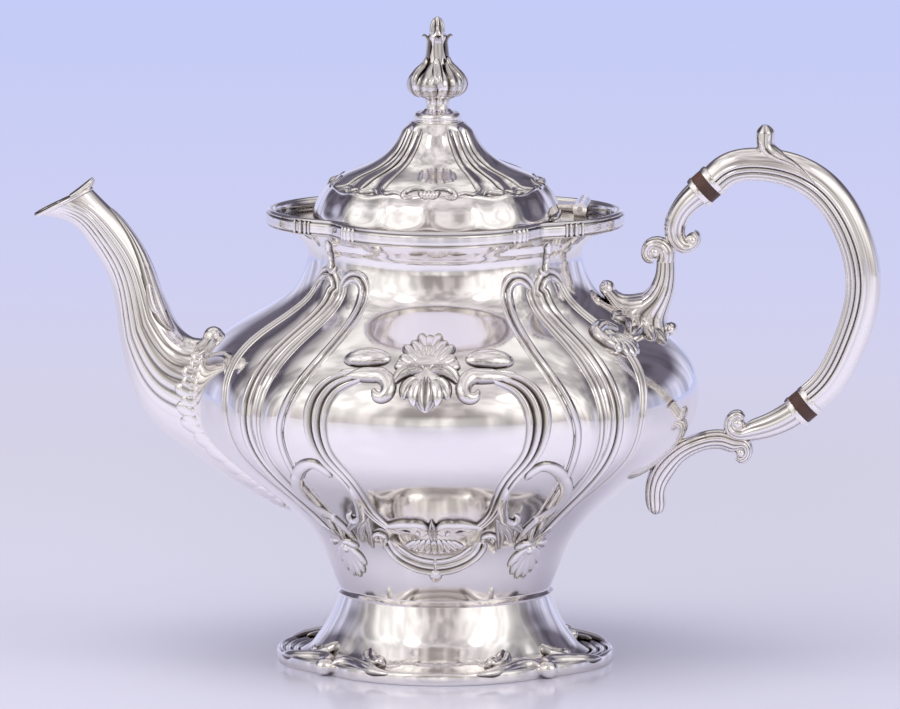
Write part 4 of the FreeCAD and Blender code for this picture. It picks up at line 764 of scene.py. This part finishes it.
def tube(line, depth, width, reed_count=0, reed_rise=0.0, columns=72):
    """An oval section along a line in the middle plane; reeds run along its inner half."""
    slope = unit(np.gradient(line, axis=0))
    theta = once_round(columns)
    wave = np.abs(np.sin(theta * reed_count / 2)) if reed_count else np.ones(columns)
    inner = smooth(0.25, -0.2, np.cos(theta))
    reed = reed_rise * (wave - 0.35) * inner
    u = (spread(depth, len(line))[:, None] / 2 + reed) * np.cos(theta)
    v = (spread(width, len(line))[:, None] / 2 + reed) * np.sin(theta)
    points = np.stack([line[:, :1] - slope[:, 1:] * u, v, line[:, 1:] + slope[:, :1] * u], axis=-1)
    # recess in the reed valleys of the inner half: tarnish and painted shade
    return points, np.repeat((inner * (1 - wave) ** 2)[None], len(line), axis=0), False


def between(first, second, width, count, reed_count=10, reed_rise=0.35):
    """An oval tube in the middle plane whose finely reeded sections span two outlines, point by point."""
    steps = np.linspace(0, len(first) - 1, count)
    one, two = (cubic(np.arange(len(first)), outline, steps) for outline in (first, second))
    theta = once_round(72)
    wave = np.abs(np.sin(theta * reed_count / 2))
    middle, half = (one + two) / 2, (two - one) / 2
    length = np.maximum(np.linalg.norm(half, axis=1, keepdims=True), 0.3)
    rise = reed_rise * (wave - 0.6) * np.minimum(1, length / 3)
    u = np.cos(theta) * (1 + rise / length)
    v = np.sin(theta) * (spread(width, count)[:, None] / 2 + rise)
    points = np.stack([middle[:, :1] + half[:, :1] * u, v, middle[:, 1:] + half[:, 1:] * u], axis=-1)
    # recess in the reed valleys: tarnish and painted shade
    return points, np.repeat((1 - wave)[None] ** 3, count, axis=0), False


def ferrules(centre, slope):
    """A low ring on each side of a heat break: the bracket's, then the grip's."""
    rings = []
    for sign in BOTH:
        line = centre + slope * sign * FERRULE_AT[:, None]
        rings.append(tube(line[::sign], FERRULE_ACROSS[::sign], FERRULE_ACROSS[::sign]))
    return rings


# Outlines that the handle's scrolls span: two lines of (x, z) points, widths, count and number of reeds

THUMB_LEAF = ([(117, 200.7), (114.9, 198.2), (114.8, 195), (115.3, 192), (117.1, 189.5), (121.5, 187.8),
               (128.5, 185.6), (133.8, 181.7), (138.4, 177.4)],
              [(119.6, 200.7), (121.9, 198.2), (121.7, 194.9), (122.4, 193.1), (124.6, 191.4), (127.6, 189.6),
               (132, 186.6), (137.3, 180.9), (139.2, 178.2)],
              [4.5, 8.2, 8.6, 8.8, 10, 12.4, 13, 12.6, 10.8], 80, 8, 0.12)
UPPER_SCROLLS = [
    # arm from the heat break down to its roll
    ([(91.1, 179.9), (86.6, 175), (83.2, 169.7), (81.2, 164.4), (81.4, 159.6), (83.7, 155.2), (88, 152.8),
      (92, 153.8), (94.7, 156.8), (94.4, 160), (92.6, 161.4)],
     [(98.2, 172), (94, 169.4), (90.6, 166), (89, 161.8), (89.2, 158.8), (90, 157.6), (90.8, 157.4),
      (91.4, 157.6), (91.8, 158), (91.8, 158.6), (91.4, 159.4)],
     [10.8, 10.4, 10, 9.8, 9.6, 9.4, 9.2, 9.2, 9, 8.4, 6], 110),
    # broad foot on the shoulder
    ([(78.4, 149.7), (78.1, 145.8), (76.7, 141.9), (73.8, 138.3), (68.9, 136), (64, 134), (61.5, 130.5),
      (64.5, 124.3), (70.7, 118.8)],
     [(85.1, 150.4), (85.3, 145.6), (85, 140.4), (84, 135.3), (82.6, 130.3), (82.4, 126.8), (83.3, 122.9),
      (81.6, 119), (77.7, 117)],
     [8.8, 9.4, 10.2, 12, 14, 16, 17, 16, 12], 90, 12),
    # roll at the foot's upper end
    ([(85.1, 149.6), (85.2, 154), (82.6, 157.6), (78.2, 158.8), (74, 157), (72.5, 153), (74.2, 149.4),
      (77.2, 148.8)],
     [(78.4, 149.6), (79, 152), (78.6, 153.6), (77.6, 154.2), (76.8, 153.8), (76.6, 153.2), (76.8, 152.6),
      (77.4, 151.8)],
     [8.8, 8.8, 8.8, 8.6, 8.4, 8, 7.4, 6], 80),
    # tip that rises towards the neck
    ([(74, 138), (67.1, 137), (63.3, 138.8), (60.8, 141.2), (58.9, 142.2), (57.6, 141.2)],
     [(72, 128), (66, 128.6), (61.8, 132.4), (59.4, 135.8), (57.8, 138.2), (57.2, 139.8)],
     [14.5, 13.6, 11.4, 9, 7.4, 4.4], 50),
]
UPPER_BALLS = [((83.8, 0, 124.6), (2.5, 4.8, 2.4)), ((60.2, 0, 139.4), (3, 4.8, 3)),
               ((91.7, 0, 158), (2.7, 4.9, 2.6)), ((77.6, 0, 153.2), (2.8, 4.7, 2.8))]
LOWER_SCROLLS = [
    # arm from the heat break to its roll
    ([(127.3, 98.4), (122.6, 95.2), (117.4, 92.4), (113.2, 90.6), (110.4, 88.8), (108.6, 88.8), (107.9, 89.6),
      (108.3, 90.5), (109.2, 90.7), (109.8, 90.4)],
     [(134.1, 90.5), (127.4, 86.6), (119.6, 83.9), (113.8, 82.9), (108.6, 82.8), (104.4, 85.2), (103.3, 89.4),
      (105.4, 93.4), (109.2, 94.4), (111.4, 92.4)],
     [10.6, 10.2, 9.8, 9.4, 9, 8.8, 8.6, 8.2, 7.6, 6], 110),
    # curved foot down the wall, rolled at its upper end
    ([(107.6, 76.2), (110, 74.4), (113.2, 76.2), (114.3, 80.4), (112, 84), (108.1, 85.4), (103.3, 86.8),
      (97.2, 86.5), (91, 84.6), (85.8, 82.1), (80.5, 78.1), (76.5, 72.7), (74.6, 66.8), (74.3, 61.6),
      (75.2, 57.4), (77.2, 55.3)],
     [(108.6, 77.6), (109.4, 78), (110.2, 78.6), (110.2, 79.6), (109, 79.8), (106.4, 78.6), (102.1, 79.8),
      (96.3, 79.2), (91.6, 77.1), (87.9, 74.1), (85, 69.9), (82.7, 66), (81.8, 62.3), (82, 58.8),
      (81.2, 56.4), (79.4, 55.3)],
     [6, 7.6, 8.2, 8.6, 8.8, 9, 9.4, 9.8, 10.2, 10.4, 10, 9.4, 9, 8.6, 7.6, 5], 140, 12),
]
LOWER_BALLS = [((108.6, 0, 89.6), (2.8, 4.6, 2.7)), ((109.8, 0, 78.8), (2.5, 4.5, 2.4))]


def handle():
    """Reeded grip, thumb leaf, and the two scrolled brackets with rolled ends."""
    upper_ring, grip_top_ring = ferrules(UPPER_BREAK, UPPER_SLOPE)
    lower_ring, grip_foot_ring = ferrules(LOWER_BREAK, LOWER_SLOPE)
    swelling = 11 + 1.6 * np.sin(np.pi * np.linspace(0, 1, 150))
    grip = tube(through(GRIP, 150), swelling, 10.6, 18, 1.0, 144)
    piece("handle_reeds", [grip, grip_top_ring, grip_foot_ring], "pot", "handle_grip")
    piece("thumb_leaf", [between(*THUMB_LEAF)], "pot", "thumb_rest")

    upper = [upper_ring] + [between(*row) for row in UPPER_SCROLLS] + [ball(*row) for row in UPPER_BALLS]
    # leaves that spread from the bracket's foot over the shoulder, and the shell work beside them
    for side in BOTH:
        for degrees, low in ((8, 120.4), (14, 122.6), (20, 126), (17, 131)):
            turn = np.radians(np.linspace(3, degrees, 24)) * side
            track = np.stack([turn, np.linspace(129.5, low, 24)], axis=1)
            upper.append(strip(on_wall, track, [7, 9, 6.5], 2.6, LEAF, 0.3, 0.4))
        face = side * math.radians(29)
        for lean in range(-2, 3):
            ray = [(lean, 127.2), (lean * 2.4, 123.4), (lean * 3.6, 119.4 + 0.7 * lean ** 2)]
            upper.append(on_panel(face, ray, 20, [4, 6, 5], 2.2, PILLOW, 0.4, 0.4))
        hook = rolled([(-7, 127.6), (-1, 129.6), (4.6, 129)], (5.2, 125.8), 3, 80, -260, 0.4)
        upper.append(on_panel(face, mirrored(hook, side), 50, [5, 6, 5.4, 4.4], 2.6, PILLOW, 0.25, 0.3))
    piece("upper_bracket", upper, "pot", "handle_socket_upper")

    lower = [lower_ring] + [between(*row) for row in LOWER_SCROLLS] + [ball(*row) for row in LOWER_BALLS]
    piece("lower_bracket", lower, "pot", "handle_socket_lower")


# Materials

def linear(code):
    """sRGB hex code as linear red, green, blue and full alpha."""
    parts = [int(code[k:k + 2], 16) / 255 for k in (0, 2, 4)]
    return [p / 12.92 if p <= 0.04045 else ((p + 0.055) / 1.055) ** 2.4 for p in parts] + [1.0]


def add(tree, kind, links=(), **settings):
    """Add a node, set its properties and its inputs (in_ and a name or a number), and join its links, where a
    node stands for its first output.

    A Mix node's colours are its inputs 6 and 7 and its output 2; a Map Range goes from 1 and 2 to 3 and 4."""
    node = tree.nodes.new("ShaderNode" + kind)
    for key, value in settings.items():
        if key.startswith("in_"):
            name = key[3:]
            node.inputs[int(name) if name.isdigit() else name.replace("_", " ")].default_value = value
        else:
            setattr(node, key, value)
    for source, target in links:
        output = source.outputs[0] if isinstance(source, bpy.types.Node) else source
        tree.links.new(output, node.inputs[target])
    return node


def new_material(name):
    """A material with its node tree, its main shader and the place on the object as a socket."""
    material = bpy.data.materials.new(name)
    material.use_nodes = True
    tree = material.node_tree
    shader = next(node for node in tree.nodes if node.type == "BSDF_PRINCIPLED")
    return material, tree, shader, add(tree, "TexCoord").outputs["Object"]


def sterling_silver():
    """Raised and hand-polished sterling: a bright, very slightly warm mirror, darkened brown-grey by its
    recess value in grooves, under raised work and inside hollows: partly tarnish, partly painted shade."""
    material, tree, shader, place = new_material("polished_sterling_silver")
    shade_and_tarnish = add(tree, "Attribute", attribute_name="recess")
    # clouding of the polish about 25 mm across, hammer softness about 9 mm across
    cloud = add(tree, "TexNoise", [(place, "Vector")], in_Scale=40.0, in_Detail=3.0)
    soft = add(tree, "TexNoise", [(place, "Vector")], in_Scale=110.0, in_Detail=1.0)
    # painted shade and tarnish: the base colour turns from bright silver to dark brown-grey as the recess
    # value rises
    tone = add(tree, "Mix", [(shade_and_tarnish.outputs["Fac"], "Factor")], data_type="RGBA",
               in_6=linear("F7F4F2"), in_7=linear("5E544E"))
    rough = add(tree, "MapRange", [(cloud, "Value")], in_3=0.06, in_4=0.13)
    bump = add(tree, "Bump", [(soft, "Height")], in_Strength=0.06, in_Distance=0.001)
    shader.inputs["Metallic"].default_value = 1.0
    tree.links.new(tone.outputs[2], shader.inputs["Base Color"])
    tree.links.new(rough.outputs["Result"], shader.inputs["Roughness"])
    tree.links.new(bump.outputs["Normal"], shader.inputs["Normal"])
    return material


def drawn_silver():
    """Plain drawn wire, pierced sheet and fixings: satin silver, greyer than the polished work."""
    material, tree, shader, place = new_material("drawn_satin_silver")
    # grain about 1 mm across, coarser than the real one so that it shows
    grain = add(tree, "TexNoise", [(place, "Vector")], in_Scale=900.0, in_Detail=2.0)
    rough = add(tree, "MapRange", [(grain, "Value")], in_3=0.2, in_4=0.34)
    shader.inputs["Metallic"].default_value = 1.0
    shader.inputs["Base Color"].default_value = linear("D2CEC6")
    tree.links.new(rough.outputs["Result"], shader.inputs["Roughness"])
    return material


def insulator_bone():
    """Dark stained bone: matt brown, mottled by its pores."""
    material, tree, shader, place = new_material("stained_bone")
    # mottling about 1.7 mm across, coarser than real pores so that it shows
    mottle = add(tree, "TexNoise", [(place, "Vector")], in_Scale=600.0, in_Detail=4.0)
    tone = add(tree, "Mix", [(mottle, "Factor")], data_type="RGBA",
               in_6=linear("3A2620"), in_7=linear("5E4236"))
    rough = add(tree, "MapRange", [(mottle, "Value")], in_3=0.42, in_4=0.6)
    tree.links.new(tone.outputs[2], shader.inputs["Base Color"])
    tree.links.new(rough.outputs["Result"], shader.inputs["Roughness"])
    return material


silver = sterling_silver()
NODE_FINISH = {"silver": silver, "silver_plain": drawn_silver(), "insulator": insulator_bone()}
for entry in frame["record"]["subparts"]:
    node = frame["nodes"][entry["node"]]
    node.data.materials.clear()
    node.data.materials.append(NODE_FINISH[entry["material_slot"]])

pot_wall()
straps()
for side_name, side_angle in (("front", -QUARTER), ("back", QUARTER)):
    cartouche(side_name + "_shield", side_angle, side_name + "_cartouche")
    crest(side_name + "_plume", side_angle, side_name + "_crest")
rim()
foot()
lid()
finial()
spout()
handle()


# Stage, light and camera

def colour_stops(ramp, stops):
    """Set a colour ramp's places and colours."""
    while len(ramp.color_ramp.elements) < len(stops):
        ramp.color_ramp.elements.new(0.5)
    for element, (place, code) in zip(ramp.color_ramp.elements, stops):
        element.position = place
        element.color = linear(code)


def seen_rays(tree):
    """1 for rays from the camera, off metal or through glass, and 0 for rays that only light a surface."""
    rays = add(tree, "LightPath").outputs
    seen = rays["Is Camera Ray"]
    for kind in ("Is Glossy Ray", "Is Transmission Ray"):
        seen = add(tree, "Math", [(seen, 0), (rays[kind], 1)], operation="MAXIMUM")
    return seen


def table_top():
    """Pale lacquered table top: faintly violet, with a soft sheen, bluer further off."""
    material, tree, shader, place = new_material("pale_lacquer")
    shader.inputs["Roughness"].default_value = 0.12
    shader.inputs["Specular IOR Level"].default_value = 0.3
    shader.inputs["Base Color"].default_value = linear("DFDCE4")
    split = add(tree, "SeparateXYZ", [(place, "Vector")])
    far = add(tree, "MapRange", [(split.outputs["Y"], "Value")], in_1=0.1, in_2=1.9)
    sweep = add(tree, "ValToRGB", [(far, "Fac")])
    colour_stops(sweep, [(0.0, "D9D7E4"), (0.22, "D6D3E6"), (0.5, "D0D1F2"), (1.0, "C5CCF6")])
    reach = add(tree, "MapRange", [(split.outputs["Y"], "Value")], in_1=0.08, in_2=0.7)
    share = add(tree, "Math", [(seen_rays(tree), 0), (reach, 1)], operation="MULTIPLY")
    glow = add(tree, "Emission", [(sweep, "Color")], in_Strength=1.0)
    mixed = add(tree, "MixShader", [(share, 0), (shader, 1), (glow, 2)])
    output = next(node for node in tree.nodes if node.type == "OUTPUT_MATERIAL")
    tree.links.new(mixed.outputs[0], output.inputs["Surface"])
    return material


TABLE_HALF = 3.0
table_mesh = bpy.data.meshes.new("table")
table_corners = np.array([(-1, -1, 0), (1, -1, 0), (1, 1, 0), (-1, 1, 0)]) * TABLE_HALF
table_mesh.from_pydata(table_corners, [], [(0, 1, 2, 3)])
table_mesh.materials.append(table_top())
table = bpy.data.objects.new("table", table_mesh)
bpy.context.scene.collection.objects.link(table)


def soft_box(name, place, aim, size, power):
    """A rectangular lamp that lights the pot and isn't mirrored in it."""
    lamp = bpy.data.lights.new(name, "AREA")
    lamp.shape = "RECTANGLE"
    lamp.size, lamp.size_y = size
    lamp.energy = power
    made = bpy.data.objects.new(name, lamp)
    bpy.context.scene.collection.objects.link(made)
    made.location = place
    toward = mathutils.Vector(aim) - mathutils.Vector(place)
    made.rotation_euler = toward.to_track_quat("-Z", "Y").to_euler()
    made.visible_glossy = False


soft_box("overhead", (-0.1, -0.25, 1.5), (0, 0, 0.1), (1.4, 1.0), 12.0)
soft_box("left_tent", (-1.5, -0.8, 0.8), (0, 0, 0.12), (1.4, 1.5), 13.0)
soft_box("right_tent", (1.6, -0.6, 0.9), (0, 0, 0.12), (1.3, 1.5), 11.0)

# the tent's tones from the horizon up: behind the pot, before it at the sides, and facing it
TENT_BEHIND = [(0.0, "D2D5F6"), (0.16, "CFCEE6"), (0.3, "686374"), (0.6, "625D6B"), (0.72, "C6C1C3"),
               (0.82, "FAF8F6"), (1.0, "D6D1D2")]
TENT_BEFORE = [(0.0, "D4CECD"), (0.12, "DED9D8"), (0.3, "EAE6E5"), (0.5, "EEEBEA"), (0.7, "D6D1D2"),
               (0.88, "B8B2B6"), (1.0, "BCB6BA")]
TENT_FACING = [(0.0, "F4F1EF"), (0.13, "F0ECEA"), (0.24, "B4ADAD"), (0.4, "C2BBBB"), (0.6, "D2CCCC"),
               (0.8, "C4BDBF"), (1.0, "B4AEB2")]
# soft-edged windows high in front: direction, cosine of the angle to the inner and outer edge, strength
WINDOWS = [((-0.62, -0.50, 0.60), 0.98, 0.82, 0.4), ((0.70, -0.48, 0.53), 0.98, 0.82, 0.35),
           ((0.0, -0.25, 0.97), 0.99, 0.90, 0.35), ((-0.42, -0.52, 0.74), 0.996, 0.985, 1.8),
           ((0.52, -0.50, 0.69), 0.997, 0.987, 1.5)]


def studio():
    """Pale cloth tent round the pot, as camera and silver see it, and an even fill for what it lights."""
    world = bpy.data.worlds.new("studio")
    bpy.context.scene.world = world
    world.use_nodes = True
    sky = world.node_tree
    sky.nodes.clear()
    way = add(sky, "TexCoord").outputs["Generated"]
    split = add(sky, "SeparateXYZ", [(way, "Vector")])
    tones = []
    for stops in (TENT_BEHIND, TENT_BEFORE, TENT_FACING):
        ramp = add(sky, "ValToRGB", [(split.outputs["Z"], "Fac")])
        colour_stops(ramp, stops)
        tones.append(ramp)
    behind, before, facing = tones
    aside = add(sky, "Math", [(split.outputs["X"], 0)], operation="ABSOLUTE")
    aside = add(sky, "MapRange", [(aside, "Value")], in_1=0.2, in_2=0.6)
    front = add(sky, "Mix", [(aside, "Factor"), (facing, 6), (before, 7)], data_type="RGBA")
    back = add(sky, "MapRange", [(split.outputs["Y"], "Value")], in_1=-0.25, in_2=0.35)
    tent = add(sky, "Mix", [(back, "Factor"), (front.outputs[2], 6), (behind, 7)], data_type="RGBA")
    # upright folds of the tent's cloth
    stretch = add(sky, "Mapping", [(way, "Vector")], in_Scale=(8.0, 8.0, 0.5))
    fold = add(sky, "TexNoise", [(stretch, "Vector")], in_Scale=1.0, in_Detail=2.0)
    shade = add(sky, "MapRange", [(fold, "Value")], in_1=0.4, in_2=0.6, in_3=0.66, in_4=1.18)
    glow = add(sky, "VectorMath", [(tent.outputs[2], "Vector"), (shade, "Scale")], operation="SCALE")
    for aim, inner, outer, strength in WINDOWS:
        near = add(sky, "VectorMath", [(way, 0)], operation="DOT_PRODUCT", in_1=aim)
        lit = add(sky, "MapRange", [(near.outputs["Value"], "Value")], interpolation_type="SMOOTHSTEP",
                  in_1=outer, in_2=inner, in_4=strength)
        patch = add(sky, "VectorMath", [(lit, "Scale")], operation="SCALE", in_0=(1.0, 0.99, 0.97))
        glow = add(sky, "VectorMath", [(glow, 0), (patch, 1)], operation="ADD")
    shown = add(sky, "Background", [(glow, "Color")], in_Strength=1.0)
    filled = add(sky, "Background", in_Color=linear("DADAF4"), in_Strength=0.72)
    mixed = add(sky, "MixShader", [(seen_rays(sky), 0), (filled, 1), (shown, 2)])
    add(sky, "OutputWorld", [(mixed, "Surface")])


studio()

# the camera stands far off with a long lens; SPAN is the width in metres that it takes in at the pot
AZIMUTH, ELEVATION, DISTANCE = math.radians(4.5), math.radians(8.3), 5.0
SPAN = 0.333
SENSOR = 36.0
AIM_ASIDE, AIM_HEIGHT = 0.00185, 0.1139
target = np.array([AIM_ASIDE * math.cos(AZIMUTH), AIM_ASIDE * math.sin(AZIMUTH), AIM_HEIGHT])
toward_eye = np.array([math.sin(AZIMUTH) * math.cos(ELEVATION), -math.cos(AZIMUTH) * math.cos(ELEVATION),
                       math.sin(ELEVATION)])
lens = bpy.data.cameras.new("camera")
lens.sensor_width = SENSOR
lens.lens = SENSOR * DISTANCE / SPAN
lens.clip_end = 50.0
eye = bpy.data.objects.new("camera", lens)
bpy.context.scene.collection.objects.link(eye)
eye.location = target + toward_eye * DISTANCE
eye.rotation_euler = (math.pi / 2 - ELEVATION, 0, AZIMUTH)
bpy.context.scene.camera = eye
bpy.context.scene.view_settings.view_transform = "Standard"
